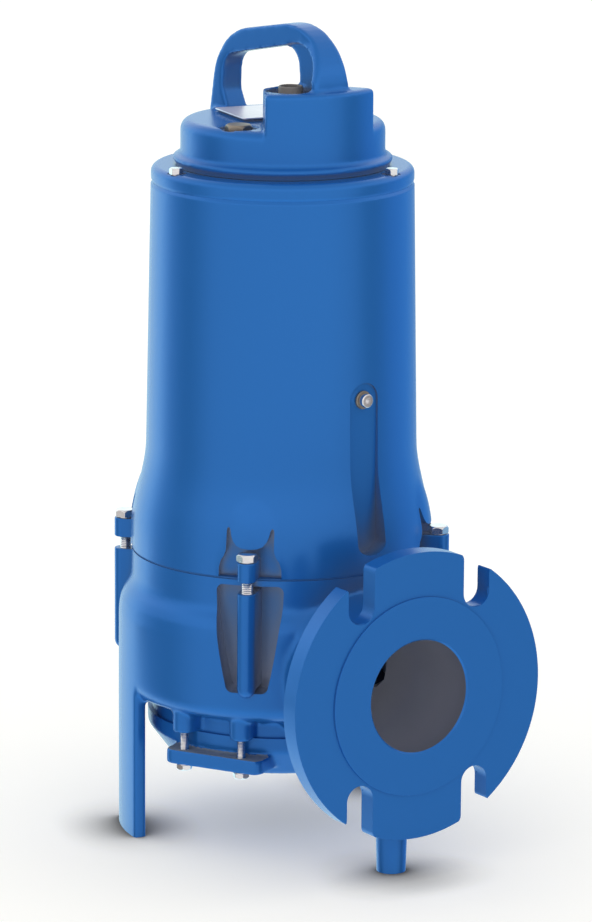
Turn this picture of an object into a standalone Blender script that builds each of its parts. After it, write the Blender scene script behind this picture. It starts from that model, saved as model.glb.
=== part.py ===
"""Submersible sewage pump with a vertical motor, a cast volute and a DN 80 side discharge.

Metres, +Z up. The floor is z = 0 and the discharge points along +X. Everything is modelled about the
pump's own axis, and one empty then shifts it all so that the origin is the middle of the footprint.
"""
import math

import bmesh
import bpy

GAP = 0.0003
ROUND_STEPS = 48

# Heights above the floor
VOLUTE_HEIGHT = 0.1306
SKIRT_BOTTOM = 0.0840
SEAM_HEIGHT = 0.2000
BARREL_TOP = 0.4584
RING_TOP = 0.4700
CAP_TOP = 0.5020
ENTRY_TOP = 0.5280
GASKET_THICKNESS = 0.0007

# Motor housing
BARREL_TOP_RADIUS = 0.0913
BARREL_TAPER = 0.0179
FLARE_WIDTH = 0.0087
FLARE_TOP = 0.2750
FLARE_BOTTOM = 0.2150
NECK_RADIUS = 0.1044
PLUG_ANGLE = math.radians(4.0)
PLUG_HEIGHT = 0.3190
FLAT_DEPTH_RADIUS = 0.0913
FLAT_HALF_WIDTH = 0.0120
FLAT_BOTTOM = 0.2430

# Four lugs that hold the motor housing on the volute
LUG_ANGLES = [math.radians(angle) for angle in (-45.0, 45.0, 135.0, -135.0)]
LUG_CIRCLE = 0.1120
LUG_HALF_WIDTH = 0.0064
LUG_TIP = 0.1135
EAR_TOP = 0.2135
EAR_RECESS_TOP = 0.2115
WELL_HALF_WIDTH = 0.0158
WELL_TOP = 0.2330
BROW_HALF_WIDTH = 0.0125
BROW_BOTTOM = 0.2205
PILLAR_TOP = 0.1916
PILLAR_BOTTOM = 0.1190
POCKET_FLOOR = 0.1215
POCKET_TOP = 0.1918
POCKET_HALF_WIDTH = 0.0220
POCKET_FOOT_HALF_WIDTH = 0.0105
POCKET_DEPTH_RADIUS = 0.0930
BOLT_RADIUS = 0.0040
BOLT_HEAD_FLATS = 0.0130
BOLT_HEAD_HEIGHT = 0.0053

# Volute casing
VOLUTE_RADIUS = 0.1140
SKIRT_RADIUS = 0.0910
CHAMBER_RADIUS = 0.0890
CHAMBER_HALF_HEIGHT = 0.0215
OIL_CHAMBER_RADIUS = 0.0857
SPIGOT_RADIUS = 0.0777

# Discharge
DISCHARGE_OFFSET = -0.0040
FLANGE_FACE = 0.1770
FLANGE_THICKNESS = 0.0140
FLANGE_RADIUS = 0.1000
RAISED_FACE_RADIUS = 0.0690
RAISED_FACE_HEIGHT = 0.0015
DISCHARGE_BORE_RADIUS = 0.0390
NECK_UNDERSIDE = 0.0863
SLOT_OFFSET = 0.0470
SLOT_HALF_WIDTH = 0.0105
SLOT_END_CENTRE = 0.0665
FOOT_DISTANCE = 0.1463

# Legs, one at each side
LEG_INNER_RADIUS = 0.1050
LEG_START = math.radians(95.6)
LEG_END = math.radians(125.0)

# Bottom plate
PLATE_BOTTOM = 0.0545
PLATE_BOTTOM_RADIUS = 0.0780
PLATE_RIM_BOTTOM = 0.0735
PLATE_TOP_RADIUS = 0.0934
SUCTION_RADIUS = 0.0400
LOBE_ANGLES = [math.radians(angle) for angle in (-61.7, 58.3, 178.3)]
LOBE_TURN = math.radians(1.2)
LOBE_BOTTOM = 0.0614
LOBE_TOP = 0.0715
LOBE_REACH = 0.1035
LOBE_HALF_WIDTH = 0.0372
PLATE_SCREW_CIRCLE = 0.0997
PLATE_SCREW_SPREAD = math.radians(13.0)
PLATE_SCREW_RADIUS = 0.0030
PLATE_SCREW_END = 0.0940

# Cap with the cable entry and the lifting hoop
CAP_RADIUS = 0.0708
CAP_LIP_RADIUS = 0.0760
HOOP_ANGLE = math.radians(4.0)
HOOP_HALF_WIDTH = 0.0089
HOOP_FLARE = 0.0205
HOOP_HOLLOW_BACK = 0.0055
ENTRY_CORNERS = [(0.0518, -0.0483), (0.0220, -0.0310), (0.0160, -0.0090),
                 (0.0300, 0.0120), (0.0520, 0.0280), (0.0620, 0.0342)]
GLAND_PLACE = (0.0400, -0.0200)
GLAND_RECESS_RADIUS = 0.0170
GLAND_RECESS_FLOOR = 0.5200
CABLE_RADIUS = 0.0069
FILLER_PLACE = (0.0205, -0.0495)
FILLER_SEAT = 0.4980
FILLER_END = 0.4870
FILLER_RADIUS = 0.0060
NAMEPLATE_CORNER = (0.0030, -0.0340)
NAMEPLATE_SIZE = (0.0530, 0.0440)
NAMEPLATE_ANGLE = math.radians(-10.0)
RING_SCREW_ANGLES = [math.radians(angle) for angle in (-92.0, 28.0, 148.0)]
RING_SCREW_CIRCLE = 0.0850

# Where the pump's axis stands, seen from the middle of the footprint
AXIS_X = -0.5 * (FLANGE_FACE + RAISED_FACE_HEIGHT - VOLUTE_RADIUS)
AXIS_Y = 0.0


def clear_scene():
    for item in list(bpy.data.objects):
        bpy.data.objects.remove(item, do_unlink=True)


def new_collection(name):
    collection = bpy.data.collections.new(name)
    bpy.context.scene.collection.children.link(collection)
    return collection


clear_scene()
PIECES = new_collection("submersible_pump")
TOOLS = new_collection("shaping_tools")
AXIS = bpy.data.objects.new("pump_axis", None)
AXIS.location = (AXIS_X, AXIS_Y, 0.0)
PIECES.objects.link(AXIS)


def finish_material(name, colour, roughness, metallic):
    material = bpy.data.materials.new(name)
    material.use_nodes = True
    shader = material.node_tree.nodes["Principled BSDF"]
    shader.inputs["Base Color"].default_value = (*colour, 1.0)
    shader.inputs["Roughness"].default_value = roughness
    shader.inputs["Metallic"].default_value = metallic
    return material


BLUE_PAINT = finish_material("blue_paint", (0.023, 0.141, 0.440), 0.35, 0.0)
STEEL = finish_material("stainless_steel", (0.62, 0.61, 0.60), 0.30, 1.0)
BRASS = finish_material("dull_brass", (0.42, 0.36, 0.31), 0.45, 1.0)
RUBBER = finish_material("grey_rubber", (0.16, 0.16, 0.16), 0.60, 0.0)
GASKET = finish_material("gasket_paper", (0.03, 0.05, 0.09), 0.80, 0.0)
IRON = finish_material("bare_cast_iron", (0.10, 0.09, 0.09), 0.60, 0.4)


def add_object(name, mesh, material=None):
    """A piece of the pump when it has a material, otherwise a tool that shapes one."""
    item = bpy.data.objects.new(name, mesh)
    item.parent = AXIS
    if material:
        PIECES.objects.link(item)
        mesh.materials.append(material)
    else:
        TOOLS.objects.link(item)
        item.hide_render = True
        item.display_type = "WIRE"
    return item


def combine(piece, tool, operation):
    step = piece.modifiers.new(f"{operation.lower()}_{tool.name}", "BOOLEAN")
    step.operation = operation
    step.object = tool


def turned(name, profile, material=None, closed=False, steps=ROUND_STEPS):
    """A profile of (radius, height) turned about the pump's axis, its outer side running down."""
    mesh = bpy.data.meshes.new(name)
    count = len(profile)
    edges = [(index, index + 1) for index in range(count - 1)]
    if closed:
        edges.append((count - 1, 0))
    mesh.from_pydata([(radius, 0.0, height) for radius, height in profile], edges, [])
    item = add_object(name, mesh, material)
    turn = item.modifiers.new("turn", "SCREW")
    turn.steps = steps
    turn.render_steps = steps
    turn.use_merge_vertices = True
    turn.merge_threshold = 0.00001
    return item


def cone_mesh(name, bottom_radius, top_radius, bottom, top, segments):
    mesh = bpy.data.meshes.new(name)
    shape = bmesh.new()
    bmesh.ops.create_cone(shape, cap_ends=True, segments=segments, radius1=bottom_radius,
                          radius2=top_radius, depth=top - bottom)
    bmesh.ops.translate(shape, verts=shape.verts, vec=(0.0, 0.0, 0.5 * (bottom + top)))
    shape.to_mesh(mesh)
    shape.free()
    mesh.shade_smooth()
    mesh.set_sharp_from_angle(angle=math.radians(40.0))
    return mesh


def cylinder(name, radius, bottom, top, place=(0.0, 0.0), material=None, segments=16):
    item = add_object(name, cone_mesh(name, radius, radius, bottom, top, segments), material)
    item.location = (place[0], place[1], 0.0)
    return item


def along_discharge(item):
    """Lay an object that stands on the floor's axis along the discharge."""
    item.rotation_euler = (0.0, math.radians(90.0), 0.0)
    item.location = (0.0, DISCHARGE_OFFSET, VOLUTE_HEIGHT)
    return item


def plate(name, outlines, bottom, top, material=None):
    """Flat outlines extruded from bottom to top; an outline inside another one is a hole."""
    curve = bpy.data.curves.new(name, "CURVE")
    curve.dimensions = "2D"
    curve.fill_mode = "BOTH"
    curve.extrude = 0.5 * (top - bottom)
    for outline in outlines:
        spline = curve.splines.new("POLY")
        spline.points.add(len(outline) - 1)
        for point, (across, along) in zip(spline.points, outline):
            point.co = (across, along, 0.0, 1.0)
        spline.use_cyclic_u = True
    drawing = bpy.data.objects.new(name, curve)
    TOOLS.objects.link(drawing)
    bpy.context.view_layer.update()
    evaluated = drawing.evaluated_get(bpy.context.evaluated_depsgraph_get())
    mesh = bpy.data.meshes.new_from_object(evaluated)
    bpy.data.objects.remove(drawing, do_unlink=True)
    mesh.name = name
    shape = bmesh.new()
    shape.from_mesh(mesh)
    bmesh.ops.remove_doubles(shape, verts=shape.verts, dist=0.000001)
    bmesh.ops.translate(shape, verts=shape.verts, vec=(0.0, 0.0, 0.5 * (bottom + top)))
    bmesh.ops.recalc_face_normals(shape, faces=shape.faces)
    shape.to_mesh(mesh)
    shape.free()
    return add_object(name, mesh, material)


def facing_out(item, angle):
    """Stand a plate up: its across is tangent, its along is up, its thickness points outwards."""
    item.rotation_euler = (math.radians(90.0), 0.0, math.radians(90.0) + angle)
    return item


def arc(centre, radius, start, end, steps, height_radius=None):
    """Points on an arc or, with a second radius, on an ellipse. Angles are in degrees."""
    tall = height_radius or radius
    angles = [math.radians(start + (end - start) * index / steps) for index in range(steps + 1)]
    return [(centre[0] + radius * math.cos(angle), centre[1] + tall * math.sin(angle)) for angle in angles]


def tongue(name, inner, tip, half_width, bottom, top, angle):
    """A lug that runs outwards and ends in a half circle."""
    outline = [(inner, -half_width)] + arc((tip, 0.0), half_width, -90.0, 90.0, 6) + [(inner, half_width)]
    item = plate(name, [outline], bottom, top)
    item.rotation_euler.z = angle
    return item


def around(radius, angle):
    return (radius * math.cos(angle), radius * math.sin(angle))


def barrel_radius(height):
    """The barrel widens slowly downwards, and its flare eases out above the seam."""
    straight = BARREL_TOP_RADIUS + BARREL_TAPER * (BARREL_TOP - height)
    share = min(max((FLARE_TOP - height) / (FLARE_TOP - FLARE_BOTTOM), 0.0), 1.0)
    return min(straight + FLARE_WIDTH * share * share * (3.0 - 2.0 * share), NECK_RADIUS)


def lug_gusset(name, angle):
    """A rounded bulge that carries the load of one lug up into the barrel."""
    mesh = bpy.data.meshes.new(name)
    shape = bmesh.new()
    bmesh.ops.create_uvsphere(shape, u_segments=18, v_segments=12, radius=1.0)
    bmesh.ops.scale(shape, verts=shape.verts, vec=(0.028, 0.038, 0.068))
    bmesh.ops.translate(shape, verts=shape.verts, vec=(0.080, 0.0, SEAM_HEIGHT))
    bmesh.ops.bisect_plane(shape, geom=shape.verts[:] + shape.edges[:] + shape.faces[:],
                           plane_co=(0.0, 0.0, SEAM_HEIGHT + 0.00001), plane_no=(0.0, 0.0, 1.0),
                           clear_inner=True)
    bmesh.ops.holes_fill(shape, edges=[edge for edge in shape.edges if edge.is_boundary])
    bmesh.ops.recalc_face_normals(shape, faces=shape.faces)
    shape.to_mesh(mesh)
    shape.free()
    item = add_object(name, mesh)
    item.rotation_euler.z = angle
    return item


def well_outline():
    """The hollow round a bolt head: it reaches up on both sides of a brow that hangs over the head."""
    low = EAR_RECESS_TOP - 0.002
    brow = arc((0.0, BROW_BOTTOM + 0.005), BROW_HALF_WIDTH, 180.0, 360.0, 8, 0.005)
    right = [(BROW_HALF_WIDTH + 0.0006, WELL_TOP - 0.003), (WELL_HALF_WIDTH - 0.001, WELL_TOP),
             (WELL_HALF_WIDTH, WELL_TOP - 0.002), (WELL_HALF_WIDTH, low)]
    left = [(-across, up) for across, up in reversed(right)]
    return left + brow + right


def make_motor_housing():
    steps = 7
    flare = [FLARE_TOP + (SEAM_HEIGHT - FLARE_TOP) * index / steps for index in range(steps + 1)]
    heights = [BARREL_TOP - GAP, PLUG_HEIGHT + 0.017, FLARE_TOP + 0.010] + flare
    profile = [(0.0, BARREL_TOP - GAP)]
    profile += [(barrel_radius(height), height) for height in heights]
    profile.append((0.0, SEAM_HEIGHT))
    housing = turned("motor_housing", profile, BLUE_PAINT)
    for number, angle in enumerate(LUG_ANGLES, 1):
        combine(housing, lug_gusset(f"lug_gusset_{number}", angle), "UNION")
    for number, angle in enumerate(LUG_ANGLES, 1):
        recess = plate(f"ear_recess_{number}",
                       [[(0.0965, -0.0225), (0.1400, -0.0225), (0.1400, 0.0225), (0.0965, 0.0225)]],
                       SEAM_HEIGHT - 0.005, EAR_RECESS_TOP)
        recess.rotation_euler.z = angle
        combine(housing, recess, "DIFFERENCE")
        well = facing_out(plate(f"bolt_well_{number}", [well_outline()], 0.0975, 0.1400), angle)
        combine(housing, well, "DIFFERENCE")
        ear = tongue(f"ear_{number}", 0.0900, LUG_TIP, LUG_HALF_WIDTH, SEAM_HEIGHT, EAR_TOP, angle)
        combine(housing, ear, "UNION")
        hole = cylinder(f"ear_hole_{number}", BOLT_RADIUS + GAP, SEAM_HEIGHT - 0.004, EAR_TOP + 0.004,
                        around(LUG_CIRCLE, angle))
        combine(housing, hole, "DIFFERENCE")
    outline = arc((0.0, PLUG_HEIGHT), FLAT_HALF_WIDTH, 0.0, 180.0, 12)
    outline += arc((0.0, FLAT_BOTTOM + 0.004), FLAT_HALF_WIDTH, 180.0, 360.0, 6, 0.004)
    flat = facing_out(plate("plug_flat", [outline], FLAT_DEPTH_RADIUS, 0.1200), PLUG_ANGLE)
    combine(housing, flat, "DIFFERENCE")
    hole = cylinder("plug_hole", 0.0043, 0.0820, 0.1200)
    hole.rotation_euler = (0.0, math.radians(90.0), PLUG_ANGLE)
    hole.location = (0.0, 0.0, PLUG_HEIGHT)
    combine(housing, hole, "DIFFERENCE")


def make_side_plug():
    """A hexagon socket plug and its sealing washer, lying in the flat of the barrel."""
    face = FLAT_DEPTH_RADIUS + GAP
    parts = []
    for name, profile, material in (
            ("side_plug", [(0.0, face + 0.0060), (0.0041, face + 0.0060), (0.0048, face + 0.0052),
                           (0.0048, face + 0.0018), (0.0040, face + 0.0018), (0.0040, 0.0830),
                           (0.0, 0.0830)], STEEL),
            ("side_plug_washer", [(0.0043, face + 0.0015), (0.0062, face + 0.0015), (0.0062, face),
                                  (0.0043, face)], BRASS)):
        item = turned(name, profile, material, closed=name.endswith("washer"), steps=16)
        item.rotation_euler = (0.0, math.radians(90.0), PLUG_ANGLE)
        item.location = (0.0, 0.0, PLUG_HEIGHT)
        parts.append(item)
    socket = cylinder("plug_socket", 0.0022, face + 0.0030, face + 0.0100, segments=6)
    socket.rotation_euler = (0.0, math.radians(90.0), PLUG_ANGLE)
    socket.location = (0.0, 0.0, PLUG_HEIGHT)
    combine(parts[0], socket, "DIFFERENCE")


def hexagon_bolt(name, place, seat, head_height, flats, radius, end, material=STEEL):
    """A bolt whose head lies on its seat; it points down, or up when its end is above the seat."""
    down = end < seat
    head_near = seat + GAP if down else seat - GAP
    head_far = head_near + head_height if down else head_near - head_height
    bolt = cylinder(name, flats / math.sqrt(3.0), min(head_near, head_far), max(head_near, head_far),
                    place, material, segments=6)
    reach = 0.0010 if down else -0.0010
    shank = cylinder(f"{name}_shank", radius, min(end, head_near + reach), max(end, head_near + reach),
                     place, segments=12)
    combine(bolt, shank, "UNION")


def make_housing_bolts():
    for number, angle in enumerate(LUG_ANGLES, 1):
        hexagon_bolt(f"housing_bolt_{number}", around(LUG_CIRCLE, angle), EAR_TOP, BOLT_HEAD_HEIGHT,
                     BOLT_HEAD_FLATS, BOLT_RADIUS, PILLAR_TOP - 0.020)


def flange_outline():
    """The flange's rim with its four open slots and the rounded tips beside them."""
    tip = 0.0035
    rim = FLANGE_RADIUS
    outline = []
    for side in (1.0, -1.0):
        for across in (SLOT_OFFSET * side, -SLOT_OFFSET * side):
            edges = [across + SLOT_HALF_WIDTH * side, across - SLOT_HALF_WIDTH * side]
            corners = []
            for edge, inward in ((edges[0], side), (edges[1], -side)):
                centre_across = edge + tip * inward
                centre_up = math.sqrt((rim - tip) ** 2 - centre_across ** 2) * side
                rim_angle = math.degrees(math.atan2(centre_up, centre_across))
                slot_angle = 180.0 if inward > 0.0 else 0.0
                corners.append(((centre_across, centre_up), rim_angle, slot_angle))
            (start, start_rim, start_slot), (end, end_rim, end_slot) = corners
            if side > 0.0:
                outline += arc(start, tip, start_rim, start_slot, 3)
                outline += arc((across, SLOT_END_CENTRE), SLOT_HALF_WIDTH, 0.0, -180.0, 8)
                outline += arc(end, tip, end_slot, end_rim, 3)
            else:
                outline += arc(start, tip, start_rim, -start_slot, 3)
                outline += arc((across, -SLOT_END_CENTRE), SLOT_HALF_WIDTH, 180.0, 0.0, 8)
                outline += arc(end, tip, -end_slot, end_rim, 3)
    return with_rim_points(outline)


def with_rim_points(outline):
    """Adds the points of the flange's rim where the outline runs on it for a long way."""
    points = []
    for index, point in enumerate(outline):
        points.append(point)
        following = outline[(index + 1) % len(outline)]
        on_rim = min(math.hypot(*point), math.hypot(*following)) > FLANGE_RADIUS - 0.0001
        start = math.atan2(point[1], point[0])
        turn = (math.atan2(following[1], following[0]) - start) % math.tau
        if on_rim and 0.1 < turn < math.pi:
            count = max(2, round(turn / math.radians(7.5)))
            points += [around(FLANGE_RADIUS, start + turn * step / count) for step in range(1, count)]
    return points


def leg_outline():
    steps = 5
    outer = [around(VOLUTE_RADIUS, LEG_START + (LEG_END - LEG_START) * step / steps)
             for step in range(steps + 1)]
    inner = [around(LEG_INNER_RADIUS, LEG_END + (LEG_START - LEG_END) * step / steps)
             for step in range(steps + 1)]
    return outer + inner


def volute_profile():
    """Half section of the casting: neck, shoulder, belly, rounded underside and skirt."""
    neck_top = SEAM_HEIGHT - GASKET_THICKNESS - 2.0 * GAP
    shoulder = arc((NECK_RADIUS, 0.1560), VOLUTE_RADIUS - NECK_RADIUS, 90.0, 0.0, 4, 0.0180)
    underside = arc((0.1000, 0.1120), 0.0140, 0.0, -90.0, 4)
    return ([(0.0, neck_top), (NECK_RADIUS, neck_top)] + shoulder + underside
            + [(SKIRT_RADIUS + 0.002, 0.0970), (SKIRT_RADIUS, SKIRT_BOTTOM), (0.0, SKIRT_BOTTOM)])


def make_volute_casing():
    casing = turned("volute_casing", volute_profile(), BLUE_PAINT)
    neck = along_discharge(add_object("discharge_neck", cone_mesh("discharge_neck", 0.0600, 0.0490,
                                                                  0.0600, FLANGE_FACE - 0.002, 40)))
    underside = plate("neck_underside", [[(0.0, -0.1), (0.1300, -0.1), (0.1300, 0.1), (0.0, 0.1)]], 0.0,
                      NECK_UNDERSIDE)
    combine(neck, underside, "DIFFERENCE")
    combine(casing, neck, "UNION")
    flange = facing_out(plate("flange_disc", [flange_outline()], FLANGE_FACE - FLANGE_THICKNESS,
                              FLANGE_FACE), 0.0)
    flange.location = (0.0, DISCHARGE_OFFSET, VOLUTE_HEIGHT)
    combine(casing, flange, "UNION")
    raised = along_discharge(cylinder("raised_face", RAISED_FACE_RADIUS, FLANGE_FACE - 0.004,
                                      FLANGE_FACE + RAISED_FACE_HEIGHT, segments=48))
    combine(casing, raised, "UNION")
    foot = add_object("foot", cone_mesh("foot", 0.0100, 0.0125, 0.0, 0.0850, 20))
    foot.location = (FOOT_DISTANCE, DISCHARGE_OFFSET, 0.0)
    combine(casing, foot, "UNION")
    for name, side in (("leg_left", -1.0), ("leg_right", 1.0)):
        outline = [(x, y * side) for x, y in leg_outline()]
        combine(casing, plate(name, [outline], 0.0, 0.1120), "UNION")
    for number, angle in enumerate(LUG_ANGLES, 1):
        add_lug_pillar(casing, number, angle)
    for number, (angle, place) in enumerate(plate_screw_places(), 1):
        boss = tongue(f"skirt_boss_{number}", 0.0840, PLATE_SCREW_CIRCLE, 0.0082, SKIRT_BOTTOM, 0.1060,
                      angle)
        combine(casing, boss, "UNION")
        hole = cylinder(f"skirt_hole_{number}", PLATE_SCREW_RADIUS + GAP, SKIRT_BOTTOM - 0.010, 0.0960,
                        place, segments=12)
        combine(casing, hole, "DIFFERENCE")
    chamber_top = VOLUTE_HEIGHT + CHAMBER_HALF_HEIGHT
    chamber_bottom = VOLUTE_HEIGHT - CHAMBER_HALF_HEIGHT
    chamber = turned("pump_chamber", [
        (0.0, SEAM_HEIGHT + 0.010), (OIL_CHAMBER_RADIUS + GAP, SEAM_HEIGHT + 0.010),
        (OIL_CHAMBER_RADIUS + GAP, chamber_top), (CHAMBER_RADIUS, chamber_top - 0.004),
        (CHAMBER_RADIUS, chamber_bottom + 0.006),
        (CHAMBER_RADIUS - 0.006, chamber_bottom), (SPIGOT_RADIUS + GAP, chamber_bottom),
        (SPIGOT_RADIUS + GAP, SKIRT_BOTTOM - 0.010), (0.0, SKIRT_BOTTOM - 0.010)])
    combine(casing, chamber, "DIFFERENCE")
    bore = along_discharge(cylinder("discharge_bore", DISCHARGE_BORE_RADIUS, 0.0600, FLANGE_FACE + 0.020,
                                    segments=40))
    combine(casing, bore, "DIFFERENCE")


def add_lug_pillar(casing, number, angle):
    """A bolt pillar that stands in a tapering pocket of the neck and the belly."""
    shoulder = 0.1500
    floor = POCKET_FLOOR + 0.008
    outline = [(POCKET_HALF_WIDTH, POCKET_TOP), (0.0190, shoulder), (POCKET_FOOT_HALF_WIDTH, floor)]
    outline += arc((0.0, floor), POCKET_FOOT_HALF_WIDTH, -20.0, -160.0, 6, 0.008)
    outline += [(-POCKET_FOOT_HALF_WIDTH, floor), (-0.0190, shoulder), (-POCKET_HALF_WIDTH, POCKET_TOP)]
    pocket = facing_out(plate(f"pillar_pocket_{number}", [outline], POCKET_DEPTH_RADIUS, 0.1400), angle)
    combine(casing, pocket, "DIFFERENCE")
    pillar = tongue(f"pillar_{number}", 0.0890, LUG_TIP, LUG_HALF_WIDTH, PILLAR_BOTTOM, PILLAR_TOP, angle)
    combine(casing, pillar, "UNION")
    hole = cylinder(f"pillar_hole_{number}", BOLT_RADIUS + GAP, PILLAR_TOP - 0.022, PILLAR_TOP + 0.004,
                    around(LUG_CIRCLE, angle))
    combine(casing, hole, "DIFFERENCE")


def plate_screw_places():
    places = []
    for lobe in LOBE_ANGLES:
        for side in (-1.0, 1.0):
            angle = lobe + side * PLATE_SCREW_SPREAD
            places.append((angle, around(PLATE_SCREW_CIRCLE, angle)))
    return places


def make_bottom_plate():
    top = SKIRT_BOTTOM - GAP
    spigot_top = VOLUTE_HEIGHT - CHAMBER_HALF_HEIGHT - 0.008
    bottom = turned("bottom_plate", [
        (SUCTION_RADIUS + 0.004, spigot_top), (SPIGOT_RADIUS, spigot_top), (SPIGOT_RADIUS, top),
        (PLATE_TOP_RADIUS, top), (PLATE_TOP_RADIUS, PLATE_RIM_BOTTOM),
        (PLATE_BOTTOM_RADIUS + 0.0015, PLATE_BOTTOM + 0.0015), (PLATE_BOTTOM_RADIUS, PLATE_BOTTOM),
        (SUCTION_RADIUS + 0.006, PLATE_BOTTOM),
        (SUCTION_RADIUS, PLATE_BOTTOM + 0.006), (SUCTION_RADIUS, spigot_top - 0.004)], BLUE_PAINT,
        closed=True)
    corner = 0.006
    for number, angle in enumerate(LOBE_ANGLES, 1):
        outline = [(0.0700, -LOBE_HALF_WIDTH)]
        outline += arc((LOBE_REACH - corner, corner - LOBE_HALF_WIDTH), corner, -90.0, 0.0, 3)
        outline += arc((LOBE_REACH - corner, LOBE_HALF_WIDTH - corner), corner, 0.0, 90.0, 3)
        outline += [(0.0700, LOBE_HALF_WIDTH)]
        lobe = plate(f"plate_lobe_{number}", [outline], LOBE_BOTTOM, LOBE_TOP)
        lobe.rotation_euler.z = angle + LOBE_TURN
        combine(bottom, lobe, "UNION")
    for number, (angle, place) in enumerate(plate_screw_places(), 1):
        hole = cylinder(f"plate_hole_{number}", PLATE_SCREW_RADIUS + GAP, LOBE_BOTTOM - 0.004,
                        LOBE_TOP + 0.004, place, segments=12)
        combine(bottom, hole, "DIFFERENCE")
        hexagon_bolt(f"bottom_plate_screw_{number}", place, LOBE_BOTTOM, 0.0040, 0.0100,
                     PLATE_SCREW_RADIUS, PLATE_SCREW_END)


def vane_outline(start_angle):
    """One impeller vane: a band of even thickness along a spiral that opens outwards."""
    thickness, inner, outer, sweep, steps = 0.0050, 0.0200, 0.0740, math.radians(200.0), 14
    middle = [(inner * (outer / inner) ** (step / steps), start_angle + sweep * step / steps)
              for step in range(steps + 1)]
    far_side = [around(radius + 0.5 * thickness, angle) for radius, angle in middle]
    near_side = [around(radius - 0.5 * thickness, angle) for radius, angle in reversed(middle)]
    return far_side + near_side


def make_impeller():
    back = VOLUTE_HEIGHT + CHAMBER_HALF_HEIGHT
    vane_tip = VOLUTE_HEIGHT - CHAMBER_HALF_HEIGHT - 0.006
    impeller = turned("impeller", [(0.0, back), (0.0840, back), (0.0840, back - 0.005),
                                   (0.0260, back - 0.009), (0.0220, 0.1200), (0.0, 0.1200)], IRON)
    for number, start in enumerate((0.0, math.pi), 1):
        vane = plate(f"vane_{number}", [vane_outline(start)], vane_tip, back - 0.002)
        combine(impeller, vane, "UNION")
    turned("impeller_screw", [(0.0, 0.1197), (0.0140, 0.1197), (0.0140, 0.1167), (0.0080, 0.1167),
                              (0.0080, 0.1080), (0.0070, 0.1070), (0.0, 0.1070)], STEEL, steps=20)


def make_oil_chamber():
    bottom = VOLUTE_HEIGHT + CHAMBER_HALF_HEIGHT + GAP
    top = SEAM_HEIGHT - GAP
    turned("oil_chamber", [(0.0, top), (OIL_CHAMBER_RADIUS - 0.001, top), (OIL_CHAMBER_RADIUS, top - 0.001),
                           (OIL_CHAMBER_RADIUS, bottom + 0.004), (0.0300, bottom + 0.004),
                           (0.0280, bottom), (0.0, bottom)], IRON)


def make_casing_gasket():
    top = SEAM_HEIGHT - GAP
    turned("casing_gasket", [(OIL_CHAMBER_RADIUS + 0.002, top), (0.0925, top),
                             (0.0925, top - GASKET_THICKNESS),
                             (OIL_CHAMBER_RADIUS + 0.002, top - GASKET_THICKNESS)], GASKET, closed=True)


def make_upper_bearing_ring():
    radius = BARREL_TOP_RADIUS - 0.0002
    edge = 0.005
    ring = turned("upper_bearing_ring", [(0.0, RING_TOP)]
                  + arc((radius - edge, RING_TOP - edge), edge, 90.0, 0.0, 4)
                  + [(radius, BARREL_TOP + 0.0006), (radius - 0.0006, BARREL_TOP), (0.0, BARREL_TOP)],
                  BLUE_PAINT)
    for number, angle in enumerate(RING_SCREW_ANGLES, 1):
        place = around(RING_SCREW_CIRCLE, angle)
        seat = cylinder(f"ring_screw_seat_{number}", 0.0070, RING_TOP - 0.0010, RING_TOP + 0.010, place)
        combine(ring, seat, "DIFFERENCE")
        hole = cylinder(f"ring_hole_{number}", 0.0033, BARREL_TOP - 0.010, RING_TOP + 0.010, place,
                        segments=12)
        combine(ring, hole, "DIFFERENCE")
        hexagon_bolt(f"ring_screw_{number}", place, RING_TOP - 0.0010, 0.0045, 0.0085, 0.0030,
                     BARREL_TOP + 0.0005)


def rounded(corners):
    """Points of an outline from its corners (across, up, radius), a radius of 0 leaving one sharp."""
    points = []
    count = len(corners)
    for index, (across, up, radius) in enumerate(corners):
        if not radius:
            points.append((across, up))
            continue
        before = corners[index - 1]
        after = corners[(index + 1) % count]
        back = math.atan2(before[1] - up, before[0] - across)
        on = math.atan2(after[1] - up, after[0] - across)
        half = 0.5 * ((on - back) % math.tau)
        middle = back + half
        if half > 0.5 * math.pi:
            half = math.pi - half
            middle += math.pi
        distance = radius / math.sin(half)
        centre = (across + distance * math.cos(middle), up + distance * math.sin(middle))
        spread = 0.5 * math.pi - half
        steps = max(3, round(spread / math.radians(6.0)))
        sign = 1.0 if (on - back) % math.tau > math.pi else -1.0
        for step in range(steps + 1):
            angle = middle + math.pi + sign * spread * (2.0 * step / steps - 1.0)
            points.append((centre[0] + radius * math.cos(angle), centre[1] + radius * math.sin(angle)))
    return points


def hoop_outline():
    """The lifting hoop seen from the side: its top falls away towards the nameplate."""
    return rounded([(-0.0760, 0.4900, 0.0), (-0.0640, 0.5560, 0.0450), (0.0580, 0.5775, 0.0480),
                    (0.0680, 0.4900, 0.0)])


def hoop_eye():
    return rounded([(-0.0500, 0.4990, 0.0), (-0.0590, 0.5160, 0.0120), (-0.0570, 0.5405, 0.0140),
                    (0.0240, 0.5565, 0.0140), (0.0270, 0.4990, 0.0)])


def hoop_flare():
    """The hoop's leg beside the cable entry widens towards the entry's front."""
    start, inside = 0.0300, 0.0020
    outline = [point for point in hoop_outline() if point[0] > start]
    outline = [(start, 0.4900), (start, outline[0][1] - inside)] + outline
    flare = plate("hoop_flare", [outline], 0.0, HOOP_FLARE)
    flare.rotation_euler = (math.radians(90.0), 0.0, HOOP_ANGLE)
    slope = facing_out(plate("hoop_flare_slope", [[(-0.0300, 0.5135), (-0.0080, 0.5610), (-0.0080, 0.6000),
                                                   (-0.0300, 0.6000)]], 0.0, 0.1000), HOOP_ANGLE)
    combine(flare, slope, "DIFFERENCE")
    return flare


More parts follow.
